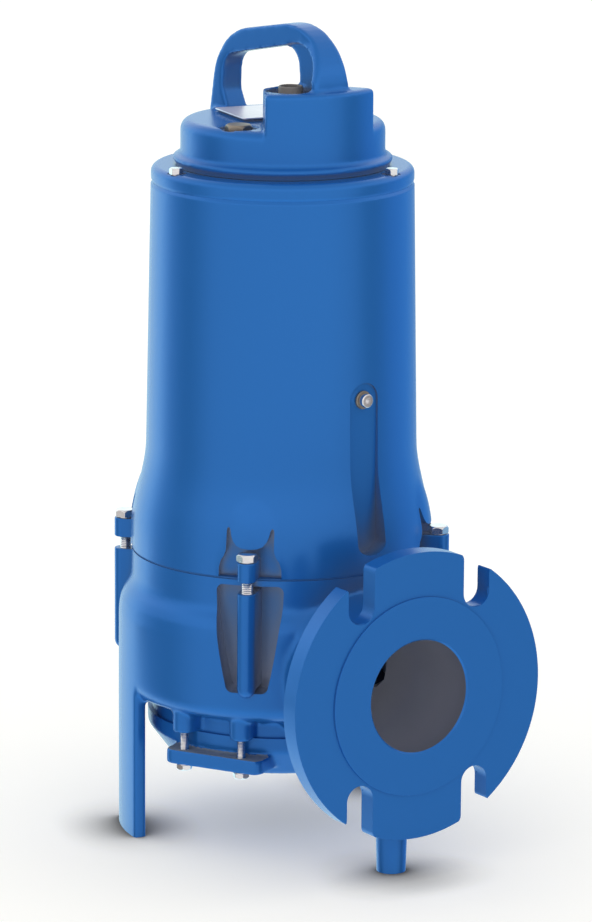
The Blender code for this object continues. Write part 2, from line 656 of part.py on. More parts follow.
def step_beside_entry():
    """What is missing above the cap's low top, all round except where the cable entry stands."""
    above, beyond, edge = ENTRY_TOP + 0.010, CAP_RADIUS + 0.010, 0.007
    rim = arc((CAP_RADIUS - edge, CAP_TOP - edge), edge, 8.0, 90.0, 4)
    step = turned("cap_step", [(0.0, above), (beyond, above), (beyond, CAP_TOP - edge - 0.002),
                               (CAP_RADIUS + 0.0006, CAP_TOP - edge - 0.002)] + rim + [(0.0, CAP_TOP)])
    outer_corners = [around(2.0 * CAP_RADIUS, math.radians(angle)) for angle in (28.9, -7.0, -43.0)]
    entry = plate("cable_entry", [ENTRY_CORNERS + outer_corners], CAP_TOP - 0.020, above + 0.010)
    combine(step, entry, "DIFFERENCE")
    return step


def make_cable_entry_cap():
    edge = 0.003
    cap = turned("cable_entry_cap", [(0.0, ENTRY_TOP)]
                 + arc((CAP_RADIUS - edge, ENTRY_TOP - edge), edge, 90.0, 0.0, 3)
                 + [(CAP_RADIUS, 0.4785), (CAP_LIP_RADIUS, 0.4770), (CAP_LIP_RADIUS, 0.4733),
                    (0.0700, 0.4733), (0.0700, RING_TOP + GAP), (0.0, RING_TOP + GAP)], BLUE_PAINT)
    combine(cap, step_beside_entry(), "DIFFERENCE")
    hoop = plate("lifting_hoop", [hoop_outline(), hoop_eye()], -HOOP_HALF_WIDTH, HOOP_HALF_WIDTH)
    hoop.rotation_euler = (math.radians(90.0), 0.0, HOOP_ANGLE)
    combine(cap, hoop, "UNION")
    combine(cap, hoop_flare(), "UNION")
    recess = cylinder("gland_recess", GLAND_RECESS_RADIUS, GLAND_RECESS_FLOOR, ENTRY_TOP + 0.004,
                      GLAND_PLACE, segments=28)
    combine(cap, recess, "DIFFERENCE")
    hollow = plate("hoop_hollow", [rounded([(0.0, ENTRY_TOP + 0.0003, 0.0), (0.0, 0.5510, 0.0),
                                            (0.0530, 0.5660, 0.0300), (0.0580, ENTRY_TOP + 0.0003, 0.0)])],
                   HOOP_HOLLOW_BACK, 0.0400)
    hollow.rotation_euler = (math.radians(90.0), 0.0, HOOP_ANGLE)
    combine(cap, hollow, "DIFFERENCE")
    bore = cylinder("gland_bore", 0.0103, 0.5050, 0.5300, GLAND_PLACE)
    combine(cap, bore, "DIFFERENCE")
    pad = nameplate_box("nameplate_pad", -0.0020, CAP_TOP - 0.006, CAP_TOP + 0.0015)
    combine(cap, pad, "UNION")
    seat = cylinder("filler_seat", 0.0125, FILLER_SEAT, CAP_TOP + 0.018, FILLER_PLACE, segments=20)
    combine(cap, seat, "DIFFERENCE")
    hole = cylinder("filler_hole", FILLER_RADIUS + GAP, FILLER_END - 0.001, FILLER_SEAT + 0.012, FILLER_PLACE)
    combine(cap, hole, "DIFFERENCE")


def nameplate_box(name, margin, bottom, top, material=None):
    """A rectangle at the nameplate's place, larger by the margin on each side."""
    width, depth = NAMEPLATE_SIZE
    outline = [(-width - margin, -margin), (margin, -margin), (margin, depth + margin),
               (-width - margin, depth + margin)]
    item = plate(name, [outline], bottom, top, material)
    item.location = (NAMEPLATE_CORNER[0], NAMEPLATE_CORNER[1], 0.0)
    item.rotation_euler.z = NAMEPLATE_ANGLE
    return item


def make_cap_fittings():
    nameplate_box("nameplate", 0.0, CAP_TOP + 0.0015 + GAP, CAP_TOP + 0.0027, STEEL)
    hexagon_bolt("filler_plug", FILLER_PLACE, FILLER_SEAT, 0.0060, 0.0170, FILLER_RADIUS, FILLER_END, BRASS)
    nut = cylinder("gland_nut", 0.0140, GLAND_RECESS_FLOOR + GAP, GLAND_RECESS_FLOOR + 0.0050,
                   GLAND_PLACE, STEEL, segments=6)
    combine(nut, cylinder("gland_nut_bore", 0.0089, 0.5000, 0.5400, GLAND_PLACE), "DIFFERENCE")
    seal = turned("gland_seal", [(0.0, 0.5120), (CABLE_RADIUS, 0.5120), (CABLE_RADIUS, 0.5310),
                                 (0.0079, 0.5310), (0.0086, 0.5290), (0.0086, 0.5200),
                                 (0.0100, 0.5195), (0.0100, 0.5053), (0.0, 0.5053)], RUBBER,
                  steps=20)
    seal.location = (*GLAND_PLACE, 0.0)


make_motor_housing()
make_side_plug()
make_housing_bolts()
make_volute_casing()
make_bottom_plate()
make_impeller()
make_oil_chamber()
make_casing_gasket()
make_upper_bearing_ring()
make_cable_entry_cap()
make_cap_fittings()
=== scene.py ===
"""A submersible sewage pump in blue enamel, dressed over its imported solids.

Metres, +Z up, the floor at z = 0 and the discharge along +X. Each piece is shaped about the pump's
own upright axis and then set down where the solids stand.
"""
import math

import bpy
from mathutils import Matrix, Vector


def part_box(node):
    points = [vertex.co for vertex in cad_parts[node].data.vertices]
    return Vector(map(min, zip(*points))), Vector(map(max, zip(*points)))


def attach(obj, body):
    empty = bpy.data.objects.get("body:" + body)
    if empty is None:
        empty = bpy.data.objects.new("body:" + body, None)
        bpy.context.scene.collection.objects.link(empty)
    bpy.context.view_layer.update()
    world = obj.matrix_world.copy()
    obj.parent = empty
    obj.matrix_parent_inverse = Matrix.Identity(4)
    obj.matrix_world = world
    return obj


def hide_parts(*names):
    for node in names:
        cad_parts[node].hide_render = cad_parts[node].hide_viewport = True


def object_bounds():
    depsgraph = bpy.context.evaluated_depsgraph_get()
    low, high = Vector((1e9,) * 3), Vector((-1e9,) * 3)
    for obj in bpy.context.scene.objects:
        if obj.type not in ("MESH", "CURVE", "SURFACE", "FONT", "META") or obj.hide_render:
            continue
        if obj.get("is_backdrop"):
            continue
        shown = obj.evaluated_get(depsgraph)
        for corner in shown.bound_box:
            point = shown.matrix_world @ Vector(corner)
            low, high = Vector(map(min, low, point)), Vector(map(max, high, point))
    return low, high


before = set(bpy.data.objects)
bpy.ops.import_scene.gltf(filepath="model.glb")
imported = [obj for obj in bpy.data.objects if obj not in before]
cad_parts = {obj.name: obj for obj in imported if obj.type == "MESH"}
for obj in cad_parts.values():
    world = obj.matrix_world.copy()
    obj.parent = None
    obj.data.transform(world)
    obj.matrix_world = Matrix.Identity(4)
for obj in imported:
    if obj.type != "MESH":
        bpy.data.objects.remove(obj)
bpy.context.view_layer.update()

# Volute casing: one sand casting in grey iron with the pump chamber, a flanged side outlet, two legs
# and a foot. The sand leaves every corner rounded; flange face, bores and the upper joint are
# machined afterwards, and the whole is dipped in blue enamel.
JOINT = 0.2000
CASING_TOP = 0.1987
NECK = 0.1044
BELLY = 0.1140
SKIRT = 0.0910
SKIRT_END = 0.0840
OUTLET_ACROSS = -0.0040
OUTLET_HEIGHT = 0.1306
FLANGE_FACE = 0.1770
FLANGE_THICKNESS = 0.0140
FLANGE_RADIUS = 0.1000
RAISED_RADIUS = 0.0690
RAISED_HEIGHT = 0.0015
BORE_RADIUS = 0.0390
SLOT_CENTRES = [(across, up) for across in (0.0470, -0.0470) for up in (0.0665, -0.0665)]
SLOT_RADIUS = 0.0105
LUG_ANGLES = [math.radians(angle) for angle in (-45.0, 45.0, 135.0, -135.0)]
LUG_CIRCLE = 0.1120
LUG_TIP = 0.1135
LUG_HALF_WIDTH = 0.0064
PILLAR_TOP = 0.1916
LOBE_ANGLES = [math.radians(angle) for angle in (-61.7, 58.3, 178.3)]
SCREW_SPREAD = math.radians(13.0)
SCREW_CIRCLE = 0.0997
PILLAR_BOLT_RADIUS = 0.0040
PLATE_SCREW_RADIUS = 0.0030
CLEARANCE = 0.0003

low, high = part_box("upper_bearing_ring")
AXIS = (0.5 * (low.x + high.x), 0.5 * (low.y + high.y), 0.0)


def drawn(name, corners):
    """A chain of edges drawn from corner to corner, all of it selected in edit mode."""
    bpy.ops.object.select_all(action="DESELECT")
    bpy.ops.mesh.primitive_plane_add(size=0.001)
    body = bpy.context.object
    body.name = name
    bpy.ops.object.mode_set(mode="EDIT")
    bpy.ops.mesh.select_mode(type="VERT")
    bpy.ops.mesh.merge(type="CENTER")
    bpy.ops.transform.translate(value=corners[0])
    for here, there in zip(corners, corners[1:]):
        step = [end - start for start, end in zip(here, there)]
        bpy.ops.mesh.extrude_region_move(TRANSFORM_OT_translate={"value": step})
    bpy.ops.mesh.select_all(action="SELECT")
    return body


def closed(body):
    bpy.ops.mesh.select_all(action="SELECT")
    bpy.ops.mesh.remove_doubles(threshold=0.00001)
    bpy.ops.mesh.normals_make_consistent(inside=False)
    bpy.ops.object.mode_set(mode="OBJECT")
    return body


def turned(name, outline, steps=128):
    """An outline of (radius, height) turned about the upright axis, as on a lathe."""
    body = drawn(name, [(radius, 0.0, height) for radius, height in outline])
    bpy.ops.mesh.spin(steps=steps, angle=math.tau, center=(0.0, 0.0, 0.0), axis=(0.0, 0.0, 1.0))
    return closed(body)


def slab(name, corners, thickness):
    """A flat outline drawn through corners in space and pulled out by a vector."""
    body = drawn(name, corners)
    bpy.ops.mesh.edge_face_add()
    bpy.ops.mesh.extrude_region_move(TRANSFORM_OT_translate={"value": thickness})
    return closed(body)


def rod(name, radius, start, end, place=(0.0, 0.0), sides=32):
    bpy.ops.object.select_all(action="DESELECT")
    bpy.ops.mesh.primitive_cylinder_add(vertices=sides, radius=radius, depth=end - start,
                                        location=(place[0], place[1], 0.5 * (start + end)))
    body = bpy.context.object
    body.name = name
    settled(body)
    return body


def settled(body):
    """Moves an object's place, turn and size into its mesh."""
    bpy.ops.object.select_all(action="DESELECT")
    body.select_set(True)
    bpy.context.view_layer.objects.active = body
    bpy.ops.object.transform_apply(location=True, rotation=True, scale=True)


def turned_to(body, angle):
    """Turns a body about the upright axis."""
    body.rotation_euler.z = angle
    settled(body)
    return body


def laid_along_outlet(body):
    """Lays a body that stands on the axis down along the outlet."""
    settled(body)
    body.rotation_euler.y = math.radians(90.0)
    body.location = (0.0, OUTLET_ACROSS, OUTLET_HEIGHT)
    settled(body)
    return body


def joined(body, others):
    bpy.ops.object.select_all(action="DESELECT")
    for other in others:
        other.select_set(True)
    body.select_set(True)
    bpy.context.view_layer.objects.active = body
    bpy.ops.object.join()
    return body


def applied(body, kind, **settings):
    modifier = body.modifiers.new(kind.lower(), kind)
    for setting, value in settings.items():
        setattr(modifier, setting, value)
    bpy.context.view_layer.objects.active = body
    bpy.ops.object.modifier_apply(modifier=modifier.name)


def merged(body, tool, operation):
    applied(body, "BOOLEAN", object=tool, operation=operation, solver="EXACT")
    bpy.data.objects.remove(tool, do_unlink=True)


def cast(body, grain, softening):
    """Fuses what was joined and rounds its corners, as sand casting does."""
    applied(body, "REMESH", mode="VOXEL", voxel_size=grain)
    applied(body, "SMOOTH", factor=0.5, iterations=softening)


def faced(body, height, keep_below):
    """Machines a body flat at a height."""
    bpy.context.view_layer.objects.active = body
    bpy.ops.object.mode_set(mode="EDIT")
    bpy.ops.mesh.select_all(action="SELECT")
    bpy.ops.mesh.bisect(plane_co=(0.0, 0.0, height), plane_no=(0.0, 0.0, 1.0), use_fill=True,
                        clear_outer=keep_below, clear_inner=not keep_below)
    bpy.ops.object.mode_set(mode="OBJECT")


def smoothed(body, sharpest=40.0):
    bpy.ops.object.select_all(action="DESELECT")
    body.select_set(True)
    bpy.context.view_layer.objects.active = body
    bpy.ops.object.shade_smooth_by_angle(angle=math.radians(sharpest))
    applied(body, "WEIGHTED_NORMAL", keep_sharp=True)


def around(radius, angle):
    return (radius * math.cos(angle), radius * math.sin(angle))


def bend(centre, radius, start, end, steps, tall=None):
    """Points on an arc, or on an ellipse when it has a second radius. Angles are in degrees."""
    angles = [math.radians(start + (end - start) * step / steps) for step in range(steps + 1)]
    return [(centre[0] + radius * math.cos(angle), centre[1] + (tall or radius) * math.sin(angle))
            for angle in angles]


def tongue(name, inner, tip, half_width, bottom, top, angle):
    """A lug that runs outwards and ends in a half circle."""
    outline = [(inner, -half_width)] + bend((tip, 0.0), half_width, -90.0, 90.0, 10) + [(inner, half_width)]
    lug = slab(name, [(x, y, bottom) for x, y in outline], (0.0, 0.0, top - bottom))
    return turned_to(lug, angle)


def plate_screw_places():
    return [(lobe + side * SCREW_SPREAD, around(SCREW_CIRCLE, lobe + side * SCREW_SPREAD))
            for lobe in LOBE_ANGLES for side in (-1.0, 1.0)]


shoulder = [(NECK + 0.0005, 0.1800), (NECK + 0.0022, 0.1755), (NECK + 0.0052, 0.1705),
            (NECK + 0.0080, 0.1640), (BELLY - 0.0003, 0.1560)]
underside = bend((0.1000, 0.1120), 0.0140, 0.0, -90.0, 8)
casing = turned("volute_casing_cast", [(0.0, JOINT + 0.006), (NECK, JOINT + 0.006)] + shoulder + underside
                + [(SKIRT + 0.002, 0.0970), (SKIRT, 0.0930), (SKIRT, SKIRT_END - 0.004), (0.0, SKIRT_END - 0.004)])

additions = []
for screw_angle, screw_place in plate_screw_places():
    additions.append(tongue("boss", 0.0840, SCREW_CIRCLE, 0.0082, SKIRT_END, 0.1060, screw_angle))
    bpy.ops.object.select_all(action="DESELECT")
    bpy.ops.mesh.primitive_cone_add(vertices=48, radius1=0.0070, radius2=0.0165, depth=0.0240,
                                    location=(*around(SCREW_CIRCLE - 0.0030, screw_angle), 0.1030))
    boss_flare = bpy.context.object
    settled(boss_flare)
    additions.append(boss_flare)
for side in (-1.0, 1.0):
    sweep = [95.6 + 29.4 * step / 10 for step in range(11)]
    ring = [around(BELLY, math.radians(angle)) for angle in sweep]
    ring += [around(0.1050, math.radians(angle)) for angle in reversed(sweep)]
    additions.append(slab("leg", [(x, y * side, -0.006) for x, y in ring], (0.0, 0.0, 0.118)))
bpy.ops.mesh.primitive_cone_add(vertices=48, radius1=0.0100, radius2=0.0125, depth=0.0910,
                                location=(0.1463, OUTLET_ACROSS, 0.0395))
foot = bpy.context.object
settled(foot)
additions.append(foot)
bpy.ops.mesh.primitive_cone_add(vertices=96, radius1=0.0600, radius2=0.0490, depth=0.1150,
                                location=(0.0, 0.0, 0.1175))
outlet_neck = laid_along_outlet(bpy.context.object)
merged(outlet_neck, slab("below_neck", [(0.0, -0.1, 0.0), (0.13, -0.1, 0.0), (0.13, 0.1, 0.0), (0.0, 0.1, 0.0)],
                         (0.0, 0.0, 0.0863)), "DIFFERENCE")
additions.append(outlet_neck)


def flange(radius, face, thickness, slot_radius, edge):
    """The outlet's flange: a disc with four open slots whose corners are rounded off."""
    disc = laid_along_outlet(rod("flange", radius, face - thickness, face, sides=160))
    for across, up in SLOT_CENTRES:
        outwards = math.copysign(1.0, up)
        mouth = bend((across, up), slot_radius, 0.0, -180.0 * outwards, 16)
        mouth += [(across - slot_radius, outwards * 0.12), (across + slot_radius, outwards * 0.12)]
        slot = slab("slot", [(face - thickness - 0.01, OUTLET_ACROSS + y, OUTLET_HEIGHT + z)
                             for y, z in mouth], (thickness + 0.02, 0.0, 0.0))
        merged(disc, slot, "DIFFERENCE")
    bpy.context.view_layer.objects.active = disc
    bpy.ops.object.mode_set(mode="EDIT")
    bpy.ops.mesh.select_mode(type="EDGE")
    bpy.ops.mesh.select_all(action="DESELECT")
    bpy.ops.object.mode_set(mode="OBJECT")
    mesh = disc.data
    for mesh_edge in mesh.edges:
        start, end = (mesh.vertices[index].co for index in mesh_edge.vertices)
        across, up = start.y - OUTLET_ACROSS, start.z - OUTLET_HEIGHT
        at_mouth = min(abs(abs(across) - centre[0] - side * slot_radius)
                       for centre in SLOT_CENTRES if centre[0] > 0.0 for side in (-1.0, 1.0)) < 0.0004
        mesh_edge.select = (at_mouth and math.hypot(across, up) > radius - 0.0004
                            and abs(end.x - start.x) > 0.5 * thickness)
    bpy.ops.object.mode_set(mode="EDIT")
    bpy.ops.mesh.bevel(offset=0.0035, segments=5)
    bpy.ops.object.mode_set(mode="OBJECT")
    if edge:
        applied(disc, "BEVEL", width=edge, segments=2, limit_method="ANGLE", angle_limit=math.radians(50.0))
    return disc


additions.append(flange(FLANGE_RADIUS - 0.0006, FLANGE_FACE - 0.0006, FLANGE_THICKNESS - 0.0012,
                        SLOT_RADIUS + 0.0006, 0.0))
joined(casing, additions)
cast(casing, 0.0016, 6)
faced(casing, CASING_TOP, True)
faced(casing, 0.0, False)
merged(casing, rod("skirt_facing", 0.0960, SKIRT_END - 0.02, SKIRT_END, sides=128), "DIFFERENCE")

# A bolt pillar with a round foot stands in a tapering pocket under each lug of the motor.
POCKET_TOP = 0.1948
POCKET_FOOT = 0.1262
PILLAR_FOOT = 0.1235
pocket_edge = bend((0.0190, POCKET_TOP - 0.0050), 0.0045, 90.0, 10.0, 6, 0.0050)
pocket_edge += [(0.0232, 0.1830), (0.0225, 0.1720), (0.0212, 0.1600), (0.0192, 0.1470), (0.0168, 0.1340)]
pocket_edge += bend((0.0100, POCKET_FOOT), 0.0050, 0.0, -90.0, 6)
pocket_edge += [(-across, up) for across, up in reversed(pocket_edge)]
for lug_angle in LUG_ANGLES:
    pocket = slab("pocket", [(0.0930, across, up) for across, up in pocket_edge], (0.05, 0.0, 0.0))
    merged(casing, turned_to(pocket, lug_angle), "DIFFERENCE")
    pillar = tongue("pillar", 0.0890, LUG_TIP, LUG_HALF_WIDTH, PILLAR_FOOT, PILLAR_TOP, lug_angle)
    applied(pillar, "BEVEL", width=0.0006, segments=2, limit_method="ANGLE", angle_limit=math.radians(50.0))
    merged(casing, pillar, "UNION")
    bpy.ops.object.select_all(action="DESELECT")
    bpy.ops.mesh.primitive_uv_sphere_add(segments=32, ring_count=24, radius=LUG_HALF_WIDTH - 0.0001)
    pillar_toe = bpy.context.object
    pillar_toe.location = (*around(LUG_TIP, lug_angle), PILLAR_FOOT + 0.0008)
    settled(pillar_toe)
    merged(casing, pillar_toe, "UNION")

machined_flange = flange(FLANGE_RADIUS, FLANGE_FACE, FLANGE_THICKNESS, SLOT_RADIUS, 0.0009)
raised = laid_along_outlet(rod("raised_face", RAISED_RADIUS, FLANGE_FACE - 0.004,
                               FLANGE_FACE + RAISED_HEIGHT, sides=128))
applied(raised, "BEVEL", width=0.0005, segments=2, limit_method="ANGLE", angle_limit=math.radians(50.0))
merged(machined_flange, raised, "UNION")
merged(casing, machined_flange, "UNION")

chamber = turned("chamber", [(0.0, JOINT + 0.01), (0.0860, JOINT + 0.01), (0.0860, 0.1521), (0.0890, 0.1481),
                             (0.0890, 0.1151), (0.0830, 0.1091), (0.0780, 0.1091), (0.0780, 0.0740),
                             (0.0, 0.0740)])
merged(casing, chamber, "DIFFERENCE")
bore = laid_along_outlet(turned("bore", [(0.0, 0.06), (BORE_RADIUS, 0.06), (BORE_RADIUS, 0.1773),
                                         (BORE_RADIUS + 0.0030, 0.1803), (0.0, 0.1803)], steps=96))
merged(casing, bore, "DIFFERENCE")
holes = [rod("hole", PILLAR_BOLT_RADIUS + CLEARANCE, PILLAR_TOP - 0.022, PILLAR_TOP + 0.004,
             around(LUG_CIRCLE, lug_angle)) for lug_angle in LUG_ANGLES]
holes += [rod("hole", PLATE_SCREW_RADIUS + CLEARANCE, SKIRT_END - 0.01, 0.0960, screw_place)
          for screw_angle, screw_place in plate_screw_places()]
merged(casing, joined(holes[0], holes[1:]), "DIFFERENCE")
smoothed(casing)


def add_node(material, kind, settings=None, inputs=None):
    """Adds one shader node, with its settings, and its sockets' values or the sockets linked to them."""
    tree = material.node_tree
    node = tree.nodes.new(kind)
    for setting, value in (settings or {}).items():
        setattr(node, setting, value)
    for socket, value in (inputs or {}).items():
        if isinstance(value, bpy.types.NodeSocket):
            tree.links.new(value, node.inputs[socket])
        else:
            node.inputs[socket].default_value = value
    return node


def from_hex(code):
    """An sRGB hex colour as linear values."""
    shares = [int(code[index:index + 2], 16) / 255.0 for index in (1, 3, 5)]
    return [share / 12.92 if share <= 0.04045 else ((share + 0.055) / 1.055) ** 2.4
            for share in shares] + [1.0]


def add_ramp(material, driver, stops):
    """Adds a colour ramp read at the driver's value, its stops given as (position, linear colour)."""
    ramp = add_node(material, "ShaderNodeValToRGB", inputs={"Fac": driver})
    while len(ramp.color_ramp.elements) < len(stops):
        ramp.color_ramp.elements.new(0.5)
    for element, (position, colour) in zip(ramp.color_ramp.elements, stops):
        element.position = position
        element.color = colour
    return ramp


def new_finish(name):
    material = bpy.data.materials.new(name)
    material.use_nodes = True
    return material, material.node_tree.nodes["Principled BSDF"]


def set_down(piece, material, slot, *nodes):
    """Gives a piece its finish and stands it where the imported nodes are, on the pump's one body."""
    piece.data.materials.clear()
    piece.data.materials.append(material)
    piece.location = AXIS
    settled(piece)
    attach(piece, "root")
    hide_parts(*nodes)


# Blue enamel over cast iron, sprayed twice on a sanded casting, glossy and slightly metallic, with
# a faint orange peel. Its colour holds painted shade: grey in the bore, the pockets and under the lips.
enamel, shader = new_finish("blue_enamel_on_cast_iron")
shader.inputs["Metallic"].default_value = 0.35
shader.inputs["Roughness"].default_value = 0.27
shader.inputs["Specular IOR Level"].default_value = 0.25
place = add_node(enamel, "ShaderNodeTexCoord").outputs["Object"]
peel = add_node(enamel, "ShaderNodeTexNoise", inputs={"Vector": place, "Scale": 450.0, "Detail": 2.0})
bump = add_node(enamel, "ShaderNodeBump", inputs={"Strength": 0.06, "Distance": 0.0004,
                                                  "Height": peel.outputs["Fac"]})
enamel.node_tree.links.new(bump.outputs["Normal"], shader.inputs["Normal"])
height = add_node(enamel, "ShaderNodeSeparateXYZ", inputs={"Vector": place})
# Painted shade: ambient occlusion turns the colour from blue to grey in hollows and between parts, faded out low on the
# pump.
painted_shade_fade_low = add_node(enamel, "ShaderNodeMapRange", inputs={"Value": height.outputs["Z"], "From Min": 0.050,
                                                       "From Max": 0.110, "To Min": 1.0, "To Max": 0.0})
painted_shade_occlusion = add_node(enamel, "ShaderNodeAmbientOcclusion", {"samples": 16}, {"Distance": 0.090})
reach = add_node(enamel, "ShaderNodeMath", {"operation": "ADD", "use_clamp": True},
                 {0: painted_shade_occlusion.outputs["AO"], 1: painted_shade_fade_low.outputs["Result"]})
enamel_and_painted_shade = add_ramp(enamel, reach.outputs["Value"], [
    (0.06, from_hex("#A3ABBE")), (0.20, from_hex("#74809C")), (0.34, from_hex("#5E7394")),
    (0.46, from_hex("#3D6BA2")), (0.60, from_hex("#2167B2"))])
enamel.node_tree.links.new(enamel_and_painted_shade.outputs["Color"], shader.inputs["Base Color"])
set_down(casing, enamel, "blue_paint", "volute_casing")

# Inside, the casing keeps the grey primer that it was dipped in before it was sprayed. Its colour holds
# painted light: pale deep in the bore, where the least light reaches, and darker towards the mouth.
primer, shader = new_finish("grey_primer_on_cast_iron")
place = add_node(primer, "ShaderNodeTexCoord").outputs["Object"]
mottle = add_node(primer, "ShaderNodeTexNoise", inputs={"Vector": place, "Scale": 160.0, "Detail": 4.0})
along_bore = add_node(primer, "ShaderNodeSeparateXYZ", inputs={"Vector": place})
bore_painted_light = add_node(primer, "ShaderNodeMapRange", inputs={"Value": along_bore.outputs["X"], "From Min": AXIS[0] + 0.060,
                                                        "From Max": AXIS[0] + FLANGE_FACE})
# Painted light: pale deep in the bore, darker towards the mouth.
tone = add_ramp(primer, bore_painted_light.outputs["Result"], [
    (0.0, from_hex("#E6E9F2")), (0.5, from_hex("#A4A8BA")), (1.0, from_hex("#5C5F6E"))])
bump = add_node(primer, "ShaderNodeBump", inputs={"Strength": 0.1, "Distance": 0.0004, "Height": mottle.outputs["Fac"]})
primer.node_tree.links.new(tone.outputs["Color"], shader.inputs["Base Color"])
primer.node_tree.links.new(bump.outputs["Normal"], shader.inputs["Normal"])
shader.inputs["Roughness"].default_value = 0.6
casing.data.materials.append(primer)
for wall in casing.data.polygons:
    across, up = wall.center.y - AXIS[1] - OUTLET_ACROSS, wall.center.z - OUTLET_HEIGHT
    along, aside = wall.center.x - AXIS[0], wall.center.y - AXIS[1]
    in_bore = along > 0.05 and math.hypot(across, up) < BORE_RADIUS + 0.0002 and abs(wall.normal.x) < 0.5
    in_chamber = math.hypot(along, aside) < 0.0892 and 0.0742 < wall.center.z < CASING_TOP - 0.0002
    if in_bore or in_chamber:
        wall.material_index = 1

# Bottom plate: a cast cover with the suction inlet in its middle, whose spigot closes the pump
# chamber. Three lobes carry two screws each, which pull it up against the casing's skirt.
PLATE_BOTTOM = 0.0545
INLET_RADIUS = 0.0400
SPIGOT_TOP = 0.1011
SPIGOT_RADIUS = 0.0777
LOBE_BOTTOM = 0.0614
LOBE_TOP = 0.0715
LOBE_REACH = 0.1035
LOBE_HALF_WIDTH = 0.0372

plate = turned("bottom_plate_cast", [(0.0, SKIRT_END + 0.006), (0.0934, SKIRT_END + 0.006), (0.0934, 0.0760),
                                     (0.0930, 0.0735), (0.0800, 0.0562), (0.0780, PLATE_BOTTOM),
                                     (0.0, PLATE_BOTTOM)])
lobes = []
for lobe_angle in LOBE_ANGLES:
    corner = 0.0060
    outline = [(0.0700, -LOBE_HALF_WIDTH)]
    outline += bend((LOBE_REACH - corner, corner - LOBE_HALF_WIDTH), corner, -90.0, 0.0, 5)
    outline += bend((LOBE_REACH - corner, LOBE_HALF_WIDTH - corner), corner, 0.0, 90.0, 5)
    outline += [(0.0700, LOBE_HALF_WIDTH)]
    lobe = slab("lobe", [(x, y, LOBE_BOTTOM) for x, y in outline], (0.0, 0.0, LOBE_TOP - LOBE_BOTTOM))
    lobes.append(turned_to(lobe, lobe_angle + math.radians(1.2)))
joined(plate, lobes)
cast(plate, 0.0014, 5)
faced(plate, SKIRT_END - 0.0001, True)
spigot = turned("spigot", [(0.0, SKIRT_END - 0.006), (SPIGOT_RADIUS, SKIRT_END - 0.006),
                           (SPIGOT_RADIUS, SPIGOT_TOP - 0.0008), (SPIGOT_RADIUS - 0.0008, SPIGOT_TOP),
                           (0.0, SPIGOT_TOP)])
merged(plate, spigot, "UNION")
inlet = turned("inlet", [(0.0, PLATE_BOTTOM - 0.004), (INLET_RADIUS + 0.0100, PLATE_BOTTOM - 0.004),
                         (INLET_RADIUS + 0.0060, PLATE_BOTTOM)]
               + [(INLET_RADIUS + 0.0060 - 0.0060 * math.sin(math.radians(angle)),
                   PLATE_BOTTOM + 0.0060 - 0.0060 * math.cos(math.radians(angle))) for angle in (30, 60, 90)]
               + [(INLET_RADIUS, SPIGOT_TOP - 0.004), (INLET_RADIUS + 0.004, SPIGOT_TOP),
                  (INLET_RADIUS + 0.008, SPIGOT_TOP + 0.004), (0.0, SPIGOT_TOP + 0.004)], steps=96)
merged(plate, inlet, "DIFFERENCE")
holes = [rod("hole", PLATE_SCREW_RADIUS + CLEARANCE, LOBE_BOTTOM - 0.004, LOBE_TOP + 0.004, screw_place)
         for screw_angle, screw_place in plate_screw_places()]
merged(plate, joined(holes[0], holes[1:]), "DIFFERENCE")
smoothed(plate)
set_down(plate, enamel, "blue_paint", "bottom_plate")

# The tops of the lobes, in the gap between casing and plate, are coloured a speckled grey: painted shade.
lobe_painted_shade, shader = new_finish("grey_painted_shade_on_cast_iron")
place = add_node(lobe_painted_shade, "ShaderNodeTexCoord").outputs["Object"]
speckle = add_node(lobe_painted_shade, "ShaderNodeTexNoise", inputs={"Vector": place, "Scale": 300.0, "Detail": 3.0})
tone = add_ramp(lobe_painted_shade, speckle.outputs["Fac"], [(0.3, from_hex("#66707E")), (0.7, from_hex("#76808E"))])
lobe_painted_shade.node_tree.links.new(tone.outputs["Color"], shader.inputs["Base Color"])
shader.inputs["Roughness"].default_value = 0.6
plate.data.materials.append(lobe_painted_shade)
# Painted shade: the lobe tops under the skirt take the grey.
for wall in plate.data.polygons:
    if wall.normal.z > 0.8 and abs(wall.center.z - LOBE_TOP) < 0.0012:
        wall.material_index = 1

# Motor housing: a thin-walled iron casting that holds the stator, drawn up to the volute by four
# lugs. It tapers upwards for the pattern to leave the sand, and flares out to the joint.
BARREL_TOP = 0.4584
BARREL_TOP_RADIUS = 0.0913
PLUG_ANGLE = math.radians(4.0)
PLUG_HEIGHT = 0.3190
FLAT_RADIUS = 0.0913
EAR_TOP = 0.2135


def barrel_radius(height):
    straight = BARREL_TOP_RADIUS + 0.0179 * (BARREL_TOP - height)
    share = min(max((0.2750 - height) / 0.0600, 0.0), 1.0)
    return min(straight + 0.0087 * share * share * (3.0 - 2.0 * share), NECK)


heights = [BARREL_TOP + 0.005, BARREL_TOP - 0.05, 0.3600, 0.3200, 0.2900]
heights += [0.2750 - 0.0040 * step for step in range(16)] + [JOINT, JOINT - 0.006]
barrel = turned("motor_housing_cast", [(0.0, heights[0])] + [(barrel_radius(height), height) for height in heights]
                + [(0.0, heights[-1])], steps=192)
gussets = []
for lug_angle in LUG_ANGLES:
    bpy.ops.object.select_all(action="DESELECT")
    bpy.ops.mesh.primitive_uv_sphere_add(segments=64, ring_count=48, radius=1.0)
    gusset = bpy.context.object
    gusset.scale = (0.0280, 0.0380, 0.0680)
    settled(gusset)
    gusset.location = (0.0800, 0.0, JOINT)
    settled(gusset)
    gussets.append(turned_to(gusset, lug_angle))
joined(barrel, gussets)
applied(barrel, "REMESH", mode="VOXEL", voxel_size=0.0016)
applied(barrel, "SMOOTH", factor=0.5, iterations=14)
faced(barrel, JOINT, False)
faced(barrel, BARREL_TOP, True)
